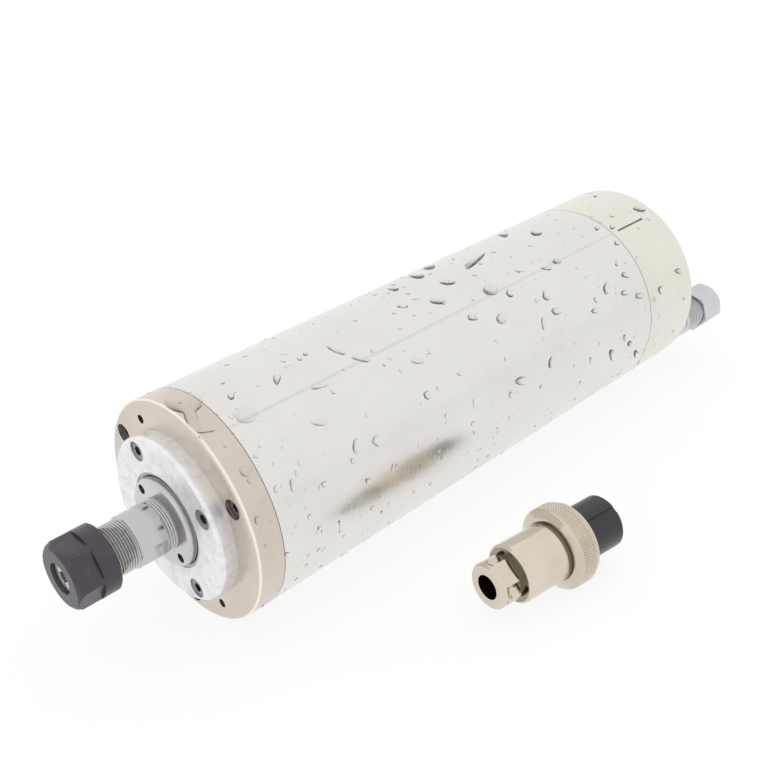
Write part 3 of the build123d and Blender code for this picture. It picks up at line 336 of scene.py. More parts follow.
def turned_metal(
    name, tint, roughness, spread=0.08, lines=1.2, depth=0.004, origin=(0, 0, 0), turn=0.0,
    smudge=0.06, pits=0.0, wave=0.0, hollows=(), frost=None, metallic=1.0,
):
    """Metal finished on a lathe about an axis through origin. Wave is the depth of a slow unevenness, in
    millimetres, that bends reflections in thick plating. Frost is a second tint that lies in patches."""
    material = bpy.data.materials.new(name)
    g = Graph(material)
    x, y, z = g.parts(g.place(origin, turn))
    base, rough, height = lathe_marks(g, x, y, z, tint, roughness, spread, lines, smudge, pits)
    if frost:
        patch = g.ramp(g.noise(g.vector(x, y, z), 330.0, 5.0, 0.66), 0.42, 0.66)
        base = g.blend(patch * 0.75, base, frost)
        rough = rough + patch * 0.1
    # painted shade in the hollows given
    base = paint_hollow_shade(g, x, y, z, base, tint, hollows)
    normal = g.bump(height, depth, 0.6)
    if wave:
        normal = g.bump(g.noise(g.vector(x, y, z), 330.0, 2.0, 0.5), wave, 1.0, normal)
    g.principled(Base_Color=base, Metallic=metallic, Roughness=rough, Normal=normal)
    return material


def body_metal(
    name, tint, roughness, spread, joints, pits=0.0, seam=None, hollows=(), bright=(), smudge=0.06
):
    """Metal of the round body. Joints are stations with a hairline shadow, where two pieces meet, and bright
    ones are stations with a painted highlight, a lighter band of colour along an edge. Seam is the angle of a
    faint line along the body. Short raised dashes run round the body where water has dried in streaks."""
    material = bpy.data.materials.new(name)
    g = Graph(material)
    x, y, z = g.parts(g.place())
    base, rough, height = lathe_marks(g, x, y, z, tint, roughness, spread, 1.1, smudge, pits)
    for station in joints:
        clear = g.ramp(g.maths("ABSOLUTE", x * 1000.0 - station), 0.05, 0.17)
        base = g.blend(clear, dim(tint, 0.18), base)
    # painted highlight: a lighter band of colour at each bright station
    for station in bright:
        clear = g.ramp(g.maths("ABSOLUTE", x * 1000.0 - station), 0.15, 0.4)
        base = g.blend(clear, dim(tint, 1.4), base)
    if seam is not None:
        aside = g.maths("ABSOLUTE", y * (1000 * sin(seam)) - z * (1000 * cos(seam)))
        front = g.ramp(y * (1000 * cos(seam)) + z * (1000 * sin(seam)), 0.0, 5.0)
        line = (1 - g.ramp(aside, 0.1, 0.8)) * front
        base = g.blend(line * 0.14, base, dim(tint, 0.3))
        height = height - line * 2.0
    # painted shade in the hollows given
    base = paint_hollow_shade(g, x, y, z, base, tint, hollows)
    dash = g.ramp(g.noise(g.vector(x * 1100.0, y * 190.0, z * 190.0), 1.0, 1.0), 0.66, 0.74)
    where = g.ramp(g.noise(g.vector(x, y, z), 75.0, 3.0), 0.5, 0.62)
    bead = dash * where
    normal = g.bump(bead, 0.035, 0.8, g.bump(height, 0.003, 0.6))
    g.principled(Base_Color=base, Metallic=1.0, Roughness=rough - bead * 0.12, Normal=normal)
    return material


def moulded(name, tint, roughness, grain=900.0, depth=0.01):
    """Plastic or rubber with a fine even grain and slightly uneven gloss."""
    material = bpy.data.materials.new(name)
    g = Graph(material)
    here = g.place()
    grains = g.noise(here, grain, 3.0, 0.6)
    cloud = g.noise(here, 120.0, 3.0)
    base = g.blend(g.ramp(cloud, 0.35, 0.7) * 0.5, tint, dim(tint, 1.6))
    g.principled(
        Base_Color=base, Roughness=roughness + (cloud - 0.5) * 0.25, Normal=g.bump(grains, depth, 0.7)
    )
    return material


def black_oxide(name, tint, worn_tint):
    """Blackened steel: a dark skin with a violet cast that slow and fine noise rub through to bare metal."""
    material = bpy.data.materials.new(name)
    g = Graph(material)
    x, y, z = g.parts(g.place())
    here = g.vector(x, y, z)
    out = g.maths("SQRT", y * y + z * z)
    grooves = g.noise(g.vector(x * 1500.0, out * 1500.0, (y + z) * 30.0), 1.0, 2.0)
    cloud = g.noise(here, 260.0, 4.0, 0.6)
    fine = g.noise(here, 2200.0, 3.0, 0.7)
    rubbed = g.ramp(cloud * 0.6 + fine * 0.4, 0.56, 0.72)
    base = g.blend(rubbed * 0.3, tint, worn_tint)
    g.principled(
        Base_Color=base, Metallic=0.55, Roughness=0.36 + (fine - 0.5) * 0.25,
        Normal=g.bump(grooves + fine, 0.005, 0.6),
    )
    return material


def stacked_core(name, tint):
    """Thin sheets of electrical steel: a fine line at every half millimetre along the axis."""
    material = bpy.data.materials.new(name)
    g = Graph(material)
    x, y, z = g.parts(g.place())
    sheet = g.maths("PINGPONG", x * 1000.0, 0.25) * 4.0
    rust = g.noise(g.vector(x, y, z), 300.0, 3.0)
    base = g.blend(g.ramp(rust, 0.5, 0.75) * 0.4, tint, (0.20, 0.13, 0.09))
    base = g.blend(g.ramp(sheet, 0.0, 0.25), dim(tint, 0.4), base)
    g.principled(Base_Color=base, Metallic=0.8, Roughness=0.45 + rust * 0.15, Normal=g.bump(sheet, 0.04))
    return material


def wound_wire(name, tint):
    """Varnished wire: round strands that run along the core and lie slightly askew. The gaps between strands
    get painted shade.
    """
    material = bpy.data.materials.new(name)
    g = Graph(material)
    x, y, z = g.parts(g.place())
    out = g.maths("SQRT", y * y + z * z)
    sway = g.noise(g.vector(x, y, z), 90.0, 2.0)
    strand = g.maths("PINGPONG", out * 1000.0 + sway * 1.4 + x * 240.0, 0.3) * (1 / 0.3)
    # painted shade: the colour darkens in the gaps between strands
    base = g.blend(g.ramp(strand, 0.0, 0.6), dim(tint, 0.35), tint)
    g.principled(
        Base_Color=base, Metallic=0.6, Roughness=0.3 + sway * 0.1, Coat_Weight=0.6, Coat_Roughness=0.15,
        Normal=g.bump(strand, 0.12),
    )
    return material


def water(name):
    """Clear water with a faintly uneven skin."""
    material = bpy.data.materials.new(name)
    g = Graph(material)
    skin = g.noise(g.place(), 500.0, 2.0)
    g.principled(
        Base_Color=(1, 1, 1, 1), Roughness=0.0, IOR=1.333, Transmission_Weight=1.0,
        Normal=g.bump(skin, 0.01, 0.5),
    )
    return material


def finish_nodes(material, *nodes):
    """Puts one finish into every material slot of the named CAD nodes."""
    for node in nodes:
        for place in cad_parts[node].material_slots:
            place.material = material


# ---------------------------------------------------------------- surfaces


def add_piece(name, rows, material, body, node=None, loop=False, sharp=30.0):
    """Makes a mesh from rings of points, shape (rows, columns, 3) in millimetres.

    Columns run round and join up. A ring whose points all coincide becomes one point, a pole. With loop the
    last ring joins the first, and otherwise the first and last rings have to be poles. The faces are turned
    outwards if the enclosed volume, a sum of signed tetrahedra, comes out negative."""
    count = rows.shape[1]
    first_pole = np.allclose(rows[0], rows[0][0], atol=1e-6) and not loop
    last_pole = np.allclose(rows[-1], rows[-1][0], atol=1e-6) and not loop
    body_rows = rows[1 if first_pole else 0: len(rows) - 1 if last_pole else len(rows)]
    points = body_rows.reshape(-1, 3)
    total = len(body_rows)
    i = np.arange(total if loop else total - 1)[:, None]
    j = np.arange(count)[None, :]
    a, b = i * count + j, i * count + (j + 1) % count
    c, d = ((i + 1) % total) * count + (j + 1) % count, ((i + 1) % total) * count + j
    quads = np.stack([a, b, c, d], axis=-1).reshape(-1, 4)
    around = np.arange(count)
    fans = []
    if first_pole:
        fans.append(np.stack([np.full(count, len(points)), (around + 1) % count, around], axis=-1))
        points = np.vstack([points, rows[0][:1]])
    if last_pole:
        base = (total - 1) * count
        after = base + (around + 1) % count
        fans.append(np.stack([np.full(count, len(points)), base + around, after], axis=-1))
        points = np.vstack([points, rows[-1][:1]])
    triangles = np.vstack([quads[:, [0, 1, 2]], quads[:, [0, 2, 3]], *fans])
    corner = points[triangles]
    inward = np.einsum("ij,ij->i", corner[:, 0], np.cross(corner[:, 1], corner[:, 2])).sum() < 0
    faces = quads.tolist() + [t for fan in fans for t in fan.tolist()]
    if inward:
        faces = [face[::-1] for face in faces]
    return mesh_piece(name, points, faces, material, body, node, sharp)


def mesh_piece(name, points, faces, material, body, node=None, sharp=30.0):
    """Puts points in millimetres and faces into a smooth mesh, sharp where faces meet at a wide angle."""
    mesh = bpy.data.meshes.new(name)
    mesh.from_pydata((points * MM).tolist(), [], faces)
    mesh.shade_smooth()
    mesh.set_sharp_from_angle(angle=radians(sharp))
    mesh.materials.append(material)
    piece = bpy.data.objects.new(name, mesh)
    bpy.context.scene.collection.objects.link(piece)
    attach(piece, body)
    if node:
        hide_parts(node)
    return piece


def round_axis(stations, radii, angles, origin=(0, 0, 0), along=(1, 0, 0), across=(0, 1, 0), up=(0, 0, 1)):
    """Rings about an axis: station times the axis, plus radius times cosine across and sine up."""
    stations = np.asarray(stations, float)[:, None, None]
    radii = np.broadcast_to(np.asarray(radii, float), (len(stations), len(angles)))[..., None]
    ring = np.cos(angles)[None, :, None] * np.asarray(across) + np.sin(angles)[None, :, None] * np.asarray(up)
    return np.asarray(origin, float) + stations * np.asarray(along) + radii * ring


def profile_rows(points, step=None):
    """Stations and radii of a profile given as corner points, with extra rows no further apart than step."""
    points = np.asarray(points, float)
    if step is None:
        return points
    rows = [points[:1]]
    for start, end in zip(points[:-1], points[1:]):
        count = max(1, int(np.ceil(abs(end[0] - start[0]) / step)))
        share_of = np.linspace(0, 1, count + 1)[1:, None]
        rows.append(start + (end - start) * share_of)
    return np.vstack(rows)


def thread_cut(stations, angles, pitch, depth, start, end):
    """Depth cut by a helical V groove. The turn count, station over pitch less angle over a full turn, makes
    a triangle wave whose crests are flattened, and it fades out over half a pitch at both ends."""
    turns = stations[:, None] / pitch - angles[None, :] / TURN
    wave = np.abs(2 * (turns - np.floor(turns)) - 1)
    groove = np.clip(wave * 1.25 - 0.22, 0, 1)
    inside = np.clip((stations - start) / (pitch / 2), 0, 1) * np.clip((end - stations) / (pitch / 2), 0, 1)
    return depth * groove * inside[:, None]


def columns(count, *extra):
    """Even angles round a circle, with further angles added where a shape has corners."""
    even = np.arange(count) / count * TURN
    return np.unique(np.round(np.concatenate([even, np.mod(extra, TURN)]), 6))


def ring_quads(rings, count):
    """Faces of four corners between rings of points, as rows of point numbers."""
    i, j = np.arange(rings - 1)[:, None], np.arange(count)[None, :]
    after = (j + 1) % count
    corners = i * count + j, (i + 1) * count + j, (i + 1) * count + after, i * count + after
    return np.stack(np.broadcast_arrays(*corners), axis=-1).reshape(-1, 4)


# ---------------------------------------------------------------- pieces


def make_shaft(sizes, material):
    """The shaft: a turned profile with two threads and a pair of wrench flats. On a flat the radius is the
    half width over the cosine of the angle from the flat's middle, wherever that is less than the round."""
    flat_half, flat_at = 6.5, radians(202)
    corner = np.arccos(flat_half / SEAT_R)
    angles = columns(
        112, *[middle + side * corner for middle in (flat_at, flat_at + pi) for side in (-1, 1)]
    )
    bore_r, taper = 3.5, np.tan(radians(8))
    bore_end, drill_tip = 8, np.tan(radians(60))
    bore = [(bore_end + bore_r / drill_tip, 0), (bore_end, bore_r), (NOSE_END + 2.0 / taper, bore_r)]
    mouth = [(NOSE_END, 5.5), (NOSE_END, 6.6)]
    nose = profile_rows([(station, NOSE_R) for station in NOSE_THREAD], sizes.nose_pitch / 18)
    flats = [(NOSE_THREAD[1] + 0.2, SEAT_R)]
    flats += [(edge + aside, SEAT_R) for edge in FLATS for aside in (-0.02, 0.02)]
    lock = profile_rows([(station, SEAT_R) for station in LOCK_THREAD], sizes.lock_pitch / 18)
    collar_r, rotor_r, tail_r, rear_r = 9.6, 9.0, 7.6, 6.0
    collar = [(19.99, SEAT_R), (20.01, collar_r), (26.0, collar_r), (26.02, rotor_r)]
    rotor_back = node_span("rotor_core")[1]
    bearing = node_span("rear_bearing_inner_ring")[0]
    back = node_span("shaft")[1]
    rear = [
        (rotor_back + 7, rotor_r), (rotor_back + 9, tail_r), (bearing - 0.01, tail_r), (bearing, rear_r),
        (back - 0.6, rear_r), (back, rear_r - 0.6), (back, 0),
    ]
    profile = np.vstack([bore, mouth, nose, flats, lock, collar, rear])
    stations, radii = profile[:, 0], profile[:, 1][:, None] * np.ones(len(angles))
    outer = np.arange(len(profile)) >= len(bore) + 1
    nose_depth = sizes.nose_pitch * sizes.thread_share
    lock_depth = sizes.lock_pitch * sizes.thread_share * 0.8
    cut = thread_cut(stations, angles, sizes.nose_pitch, nose_depth, NOSE_END + 0.2, NOSE_THREAD[1])
    cut += thread_cut(
        stations, angles, sizes.lock_pitch, lock_depth, LOCK_THREAD[0] - 0.1, LOCK_THREAD[1] - 0.1
    )
    radii = radii - cut * outer[:, None]
    turned_to = np.abs(np.cos(angles - flat_at))
    flat_r = np.minimum(SEAT_R, flat_half / np.maximum(turned_to, 1e-3))
    on_flat = (stations > FLATS[0]) & (stations < FLATS[1])
    radii = np.where(on_flat[:, None], np.minimum(radii, flat_r[None, :]), radii)
    rings = round_axis(stations, radii, angles)
    return add_piece("shaft_turned", rings, material, "rotor", "shaft", sharp=24)


def make_dust_shield(material):
    """A thin dished ring pressed into the cover's bore round the lock ring: a closed profile turned about the
    axis, with a shallow hollow between its rims."""
    bore, inner, front, back, hollow = 14.0, 12.98, -4.25, -3.6, 0.3
    across = np.linspace(0, 1, 9)
    dish = np.stack([front + hollow * np.sin(pi * across), inner + (bore - inner) * across], axis=-1)
    profile = np.vstack([dish, [(back, bore), (back, inner)]])
    rings = round_axis(profile[:, 0], profile[:, 1][:, None], columns(96))
    return add_piece("dust_shield", rings, material, "housing", loop=True)


def make_fitting(side, sizes, material):
    """A hose fitting: a turned tube about its port's axis with a thread under the nut."""
    start, end = node_span(f"water_fitting_{side}")
    angles = columns(72)
    thread_from, thread_to = BODY_END + 7.0, end - 0.8
    bore, root, neck, outside = 2.5, 4.9, 5.5, 6.0
    corners = [
        (start, bore), (start, root), (BODY_END - 0.01, root), (BODY_END, outside), (BODY_END + 4.4, outside),
        (BODY_END + 4.6, neck), (BODY_END + 5.4, neck), (BODY_END + 5.6, outside),
    ]
    rows = profile_rows([(thread_from - 1.0, outside), (end - 1.0, outside)], sizes.hose_pitch / 16)
    profile = np.vstack([corners, rows, [(end, outside - 1.0), (end, bore)]])
    depth = sizes.hose_pitch * sizes.thread_share
    cut = thread_cut(profile[:, 0], angles, sizes.hose_pitch, depth, thread_from, thread_to)
    cut = cut * (profile[:, 1] > outside - 0.1)[:, None]
    radii = profile[:, 1][:, None] - cut
    port = (0, PORTS[side][1], PORTS[side][2])
    return add_piece(
        f"hose_fitting_{side}", round_axis(profile[:, 0], radii, angles, port), material, "housing",
        f"water_fitting_{side}", loop=True, sharp=24,
    )


def make_socket(sizes, material):
    """The power socket's shell: a flange and a threaded neck, turned about the spindle's axis."""
    start, end = node_span("socket_shell")
    angles = columns(96)
    bore, rim, neck, bevel, flange = 8.3, 9.0, 9.45, 12.2, 12.5
    thread_from = BODY_END + 3.2
    corners = [
        (start, bore), (start, rim), (start + 0.45, neck), (BODY_END - 0.01, neck), (BODY_END, bevel),
        (BODY_END + 0.3, flange), (BODY_END + 2.2, flange), (BODY_END + 2.5, bevel), (BODY_END + 2.51, neck),
    ]
    rows = profile_rows([(thread_from, neck), (end - 0.5, neck)], sizes.socket_pitch / 16)
    profile = np.vstack([corners, rows, [(end, rim), (end, bore)]])
    depth = sizes.socket_pitch * sizes.thread_share
    cut = thread_cut(profile[:, 0], angles, sizes.socket_pitch, depth, thread_from, end - 0.3)
    on_neck = np.abs(profile[:, 1] - neck) < 0.05
    radii = profile[:, 1][:, None] - cut * on_neck[:, None]
    return add_piece(
        "socket_threaded", round_axis(profile[:, 0], radii, angles), material, "housing",
        "socket_shell", loop=True, sharp=24,
    )


def make_coupling_ring(sizes, material):
    """The plug's coupling ring. The knurl's height is the lower of two triangle waves that wind opposite ways
    round the ring, which leaves rows of small pyramids, and it ends in a short bevel at each side."""
    per_diamond = 6
    angles = columns(sizes.knurl_count * per_diamond)
    knurl = (2.3, 7.7)
    lip, step, bore = 1.75, 8.85, 9.5
    front = [(lip, step), (1.2, step), (1.2, 9.9), (1.32, 10.15), (2.0, 11.95), (2.12, 12.15), (2.22, 12.2)]
    rows = profile_rows([(station, RING_R) for station in knurl], 0.13)
    groove, collar, back = 10.7, 11.4, 9.4
    rear = [
        (7.9, 12.0), (7.91, groove), (8.39, groove), (8.4, 11.2), (8.55, collar), (9.15, collar), (back, 11.1),
        (back, bore), (lip, bore),
    ]
    profile = np.vstack([front, rows, rear])
    stations = profile[:, 0]
    pitch = TURN * RING_R / sizes.knurl_count
    along = stations[:, None] / (pitch * 1.15)
    round_it = angles[None, :] * sizes.knurl_count / TURN

    def tooth(turns):
        """Triangle wave from 0 to 1 and back over each turn."""
        return 1 - np.abs(2 * (turns - np.floor(turns)) - 1)

    height = np.minimum(tooth(round_it + along), tooth(round_it - along))
    on_knurl = (stations >= knurl[0] - 1e-6) & (stations <= knurl[1] + 1e-6)
    inside = on_knurl & (profile[:, 1] > RING_R - 0.1)
    edge = np.clip((stations - knurl[0]) / 0.3, 0, 1) * np.clip((knurl[1] - stations) / 0.3, 0, 1)
    radii = profile[:, 1][:, None] - np.where(
        inside[:, None], sizes.knurl_depth * (1 - np.clip(height * 1.35, 0, 1) * edge[:, None]), 0
    )
    rings = round_axis(stations, radii, angles, PLUG_POINT, PLUG_ALONG, PLUG_ACROSS, UP)
    return add_piece(
        "ring_knurled", rings, material, "plug_ring", "plug_coupling_ring", loop=True, sharp=35
    )


# Water drops on the body: station, angle about the axis in degrees, half length, half width, turn of the
# length from the axis towards growing angle in degrees.
DROPS = np.array([
    (4.3, 93.6, 7.6, 3.85, 112), (3.4, 109.4, 2.8, 1.1, 17), (50.5, 101.5, 3.3, 1.2, 75),
    (54.4, 112.2, 2.8, 1.5, 39), (29.8, 101.1, 2.7, 1.1, -50), (37.7, 115.3, 3.0, 1.0, 15),
    (15.0, 111.3, 3.5, 3.1, -15), (15.8, 98.6, 1.6, 1.0, -52), (31.3, 130.9, 2.9, 1.1, 24),
    (38.1, 148.9, 2.3, 1.6, -61), (45.3, 152.0, 2.6, 1.8, 24), (35.3, 154.2, 1.0, 0.8, 28),
    (12.7, 127.7, 0.8, 0.5, 20), (10.3, 130.8, 1.0, 0.7, 20), (5.8, 134.5, 1.9, 1.7, 8),
    (11.1, 147.8, 1.0, 1.0, 5), (16.1, 150.2, 1.8, 1.5, -65), (24.8, 157.1, 1.3, 0.9, 30),
    (38.3, 167.2, 1.2, 0.9, 52), (47.5, 168.1, 1.4, 0.7, -86), (3.2, 155.9, 1.3, 1.1, 38),
    (9.2, 179.5, 1.2, 0.6, 41), (27.2, 182.9, 3.1, 0.4, 89), (117.8, 85.1, 7.6, 1.8, -20),
    (141.0, 70.4, 4.0, 1.5, -56), (146.9, 86.8, 2.6, 2.0, -38), (107.8, 66.1, 5.1, 2.0, -57),
    (98.9, 72.4, 4.2, 1.9, -70), (87.1, 75.0, 2.7, 1.5, -78), (100.7, 92.7, 2.8, 1.9, 37),
    (91.1, 101.5, 2.8, 2.1, 12), (80.4, 94.4, 1.7, 1.4, 27), (86.2, 93.9, 1.4, 0.6, 39),
    (109.5, 110.3, 3.5, 2.5, -6), (114.1, 117.5, 2.0, 1.3, -28), (95.9, 120.0, 2.2, 1.4, 10),
    (104.9, 127.8, 2.6, 1.9, -18), (126.1, 128.2, 2.5, 1.7, -24), (139.8, 113.2, 2.0, 1.3, -8),
    (134.0, 114.3, 2.3, 1.1, 19), (124.7, 108.6, 1.8, 0.5, 27), (126.2, 138.5, 2.6, 1.3, 15),
    (118.9, 140.9, 2.4, 1.2, -50), (144.2, 143.7, 1.2, 1.0, -5), (141.9, 148.9, 1.9, 1.0, 17),
    (151.2, 140.8, 2.5, 1.7, -36), (158.3, 148.4, 2.3, 1.0, 17), (165.1, 154.5, 3.2, 1.0, 19),
    (162.3, 139.5, 2.4, 1.2, 14), (161.4, 130.9, 1.5, 0.8, -37), (167.6, 120.3, 1.6, 1.0, -16),
    (166.4, 105.4, 1.6, 0.9, -28), (177.2, 102.3, 1.1, 0.8, -6), (172.0, 109.5, 1.6, 1.0, -17),
    (190.5, 106.5, 3.3, 1.9, 12), (187.3, 76.2, 2.2, 0.7, -40), (176.6, 157.9, 2.0, 1.4, 20),
    (188.6, 153.2, 2.6, 1.1, 17), (189.5, 171.8, 1.1, 0.5, 28), (154.5, 173.9, 1.7, 1.0, 66),
    (157.8, 180.3, 2.3, 1.0, 35), (163.7, 192.4, 3.7, 1.1, 51), (147.6, 180.2, 3.0, 1.5, 62),
    (135.9, 174.8, 1.4, 0.8, 74), (116.8, 162.8, 2.1, 1.8, 58), (80.1, 142.9, 1.3, 0.6, 20),
    (102.5, 163.0, 3.5, 1.4, 24), (96.9, 166.9, 1.3, 1.0, 54), (110.6, 172.7, 1.1, 0.6, 35),
    (66.5, 144.2, 1.8, 1.3, 15), (81.4, 160.3, 1.8, 0.6, -73), (69.3, 127.1, 2.5, 1.0, 22),
])


def drop_mesh(name, drops, rings, spokes, chance, sizes, material):
    """Water drops on the body in one mesh. Each is a cap over an oval with a slightly wavy outline. At a
    share t of the way out, its height is the half width, 1.3 mm at most, times the root of one over the edge
    angle's squared sine less t squared, less the edge angle's cotangent. The rim lies just under the metal,
    and a fan closes it below. A drop with a half width over 3.5 mm spreads into three arms."""
    tallest_width, armed_width, sunk = 1.3, 3.5, 0.06
    total = len(drops)
    station, angle, half_length, half_width, turn = drops.T[:, :, None, None]
    angle, turn = np.radians(angle), np.radians(turn)
    t = np.linspace(0, 1, rings + 1)[1:][None, :, None]
    round_it = (np.arange(spokes) / spokes * TURN)[None, None, :]
    phase = chance.uniform(0, TURN, (3, total, 1, 1))
    waves = zip((0.07, 0.06, 0.03), (2, 3, 5), phase)
    wavy = sum((swing * np.cos(number * round_it + start) for swing, number, start in waves), 1)
    wavy = wavy + np.where(half_width > armed_width, 0.5, 0.0) * np.cos(3 * round_it)
    reach = t * (1 + (wavy - 1) * t)
    along = half_length * reach * np.cos(round_it)
    across = half_width * reach * np.sin(round_it)
    place_x = station + along * np.cos(turn) - across * np.sin(turn)
    place_a = angle + (along * np.sin(turn) + across * np.cos(turn)) / BODY_R
    edge = sizes.drop_angle
    tall = half_width * np.minimum(1, tallest_width / half_width)
    height = tall * (np.sqrt(1 / sin(edge) ** 2 - t ** 2) - 1 / np.tan(edge)) - sunk * t ** 2
    top_height = (tall * (1 / sin(edge) - 1 / np.tan(edge)))[:, 0, 0]

    def spot(x, a, r):
        return np.stack([x, r * np.cos(a), r * np.sin(a)], axis=-1)

    skin = spot(place_x, place_a, BODY_R + height + 0 * round_it).reshape(total, -1, 3)
    middle = drops[:, 0], np.radians(drops[:, 1])
    top = spot(*middle, BODY_R + top_height)[:, None]
    under = spot(*middle, np.full(total, BODY_R - 0.25))[:, None]
    points = np.concatenate([skin, top, under], axis=1)
    size = rings * spokes + 2
    quads = ring_quads(rings, spokes)
    spoke = np.arange(spokes)
    crown = np.stack([np.full(spokes, size - 2), spoke, (spoke + 1) % spokes], axis=-1)
    rim = (rings - 1) * spokes
    base = np.stack([np.full(spokes, size - 1), rim + (spoke + 1) % spokes, rim + spoke], axis=-1)
    shift = (np.arange(total) * size)[:, None, None]
    faces = (quads[None] + shift).reshape(-1, 4)[:, ::-1].tolist()
    faces += (np.vstack([crown, base])[None] + shift).reshape(-1, 3)[:, ::-1].tolist()
    flat_points = points.reshape(-1, 3)
    probe = flat_points[faces[0]]
    outwards = np.dot(np.cross(probe[1] - probe[0], probe[2] - probe[0]), probe[0] * np.array([0, 1, 1])) > 0
    if not outwards:
        faces = [face[::-1] for face in faces]
    return mesh_piece(name, flat_points, faces, material, "housing", sharp=60)


def make_drops(sizes, material):
    """The drops of the table, and small ones scattered over the body by a fixed random draw: most are under
    half a millimetre long, and a few are over one."""
    chance = np.random.default_rng(7)
    count = sizes.fine_drops
    small = np.stack([
        chance.uniform(1.5, BODY_END - 2, count), chance.uniform(0, 360, count),
        0.26 + 0.8 * chance.uniform(0, 1, count) ** 3, np.zeros(count), chance.uniform(50, 130, count),
    ], axis=1)
    small[:, 3] = small[:, 2] * chance.uniform(0.45, 0.95, count)
    drop_mesh("water_drops", DROPS, 7, 28, chance, sizes, material)
    drop_mesh("fine_drops", small, 3, 12, chance, sizes, material)


# ---------------------------------------------------------------- operators


class SPINDLE_OT_studio(bpy.types.Operator):
    """Pale floor, soft surrounding light and the camera"""

    bl_idname = "spindle.studio"
    bl_label = "Studio"

    def execute(self, context):
        scene = context.scene
        lens = bpy.data.cameras.new("studio_camera")
        lens.sensor_width = SENSOR
        lens.lens = FOCAL / PICTURE * SENSOR
        lens.shift_x = -(OPTICAL_CENTRE[0] - PICTURE / 2) / PICTURE
        lens.shift_y = -(PICTURE / 2 - OPTICAL_CENTRE[1]) / PICTURE
        lens.clip_start, lens.clip_end = 0.01, 20.0
        camera = bpy.data.objects.new("studio_camera", lens)
        level = cos(CAMERA_PITCH)
        look = Vector((level * cos(CAMERA_YAW), level * sin(CAMERA_YAW), sin(CAMERA_PITCH)))
        camera.location = CAMERA_AT
        camera.rotation_mode = "QUATERNION"
        camera.rotation_quaternion = look.to_track_quat("-Z", "Y")
        scene.collection.objects.link(camera)
        scene.camera = camera
        self.floor(scene)
        self.surroundings(scene)
        scene.view_settings.view_transform = "Standard"
        return {"FINISHED"}

    def floor(self, scene):
        """A round sheet of paper just under the object: rings of points out to the floor's radius. As a
        background it is mostly white, and the rest of it stays matt and holds the object's shadow."""
        sizes, colours = scene.spindle_sizes, scene.spindle_colours
        middle = (90, -20, CAD_BOX[0][2] / MM - 0.02)
        radii = np.array([0.25, 0.5, 0.75, 1.0]) * sizes.floor_radius / MM
        angles = columns(96)
        ring = np.stack([np.cos(angles), np.sin(angles), 0 * angles], axis=-1)
        points = np.vstack([[middle], (radii[:, None, None] * ring + middle).reshape(-1, 3)])
        quads = 1 + ring_quads(len(radii), len(angles))
        spoke = np.arange(len(angles))
        fan = np.stack([0 * spoke, 1 + spoke, 1 + (spoke + 1) % len(angles)], axis=-1)
        mesh = bpy.data.meshes.new("floor")
        mesh.from_pydata((points * MM).tolist(), [], quads.tolist() + fan.tolist())
        paper = bpy.data.materials.new("floor_paper")
        g = Graph(paper)
        fibre = g.noise(g.place(), 40.0, 3.0)
        grain = g.blend(fibre * 0.02, colours.paper, dim(colours.paper, 0.9))
        matt = g.node("ShaderNodeBsdfDiffuse", {}, {"Color": grain})
        glow = g.node("ShaderNodeEmission", {}, {"Color": (*colours.paper, 1.0), "Strength": 1.0})
        white_share = 0.86
        seen = g.background_rays() * white_share
        both = g.node("ShaderNodeMixShader", {}, {0: seen, 1: matt, 2: glow})
        g.node("ShaderNodeOutputMaterial", {}, {"Surface": both})
        mesh.materials.append(paper)
        sheet = bpy.data.objects.new("floor", mesh)
        scene.collection.objects.link(sheet)

    def surroundings(self, scene):
        """Light from all round that changes with the angle about the spindle's axis: bright above and in
        front, paler behind, and darker at the horizon. The first list is the light beside the spindle, and
        the second the light ahead of it, as angles in degrees with levels. As a background it is white."""
        world = bpy.data.worlds.new("studio_world")
        scene.world = world
        g = Graph(world)
        x, y, z = g.parts(g.node("ShaderNodeTexCoord", {}, {}, "Generated"))
        turn = g.maths("FRACT", g.maths("ARCTAN2", z, y) / TURN + 1.0)
        side = [
            (0, 1.1), (20, 0.88), (45, 1.1), (65, 1.2), (85, 1.4), (115, 1.4), (124, 1.15), (134, 0.72),
            (144, 0.4), (158, 0.22), (170, 0.26), (178, 0.5), (184, 0.75), (260, 0.75), (345, 1.15),
            (360, 1.1),
        ]
        ahead = [
            (0, 1.1), (17, 0.85), (38, 0.8), (60, 0.9), (80, 1.08), (90, 1.3), (115, 1.3), (122, 1.12),
            (133, 1.02), (144, 1.0), (154, 0.9), (163, 0.68), (172, 0.46), (178, 0.44), (184, 0.62),
            (190, 0.75), (260, 0.75), (345, 1.1), (360, 1.1),
        ]
        full = 1.5
        bands = []
        for levels in (side, ahead):
            stops = [(angle / 360, level / full) for angle, level in levels]
            bands.append(g.node("ShaderNodeValToRGB", {"stops": stops}, {0: turn}))
        light = g.blend(g.ramp(x, 0.36, 0.56), *bands)
        lit = g.node("ShaderNodeBackground", {}, {"Color": light, "Strength": full})
        paper = (*scene.spindle_colours.paper, 1.0)
        white = g.node("ShaderNodeBackground", {}, {"Color": paper, "Strength": 1.0})
        both = g.node("ShaderNodeMixShader", {}, {0: g.background_rays(), 1: lit, 2: white})
        g.node("ShaderNodeOutputWorld", {}, {"Surface": both})


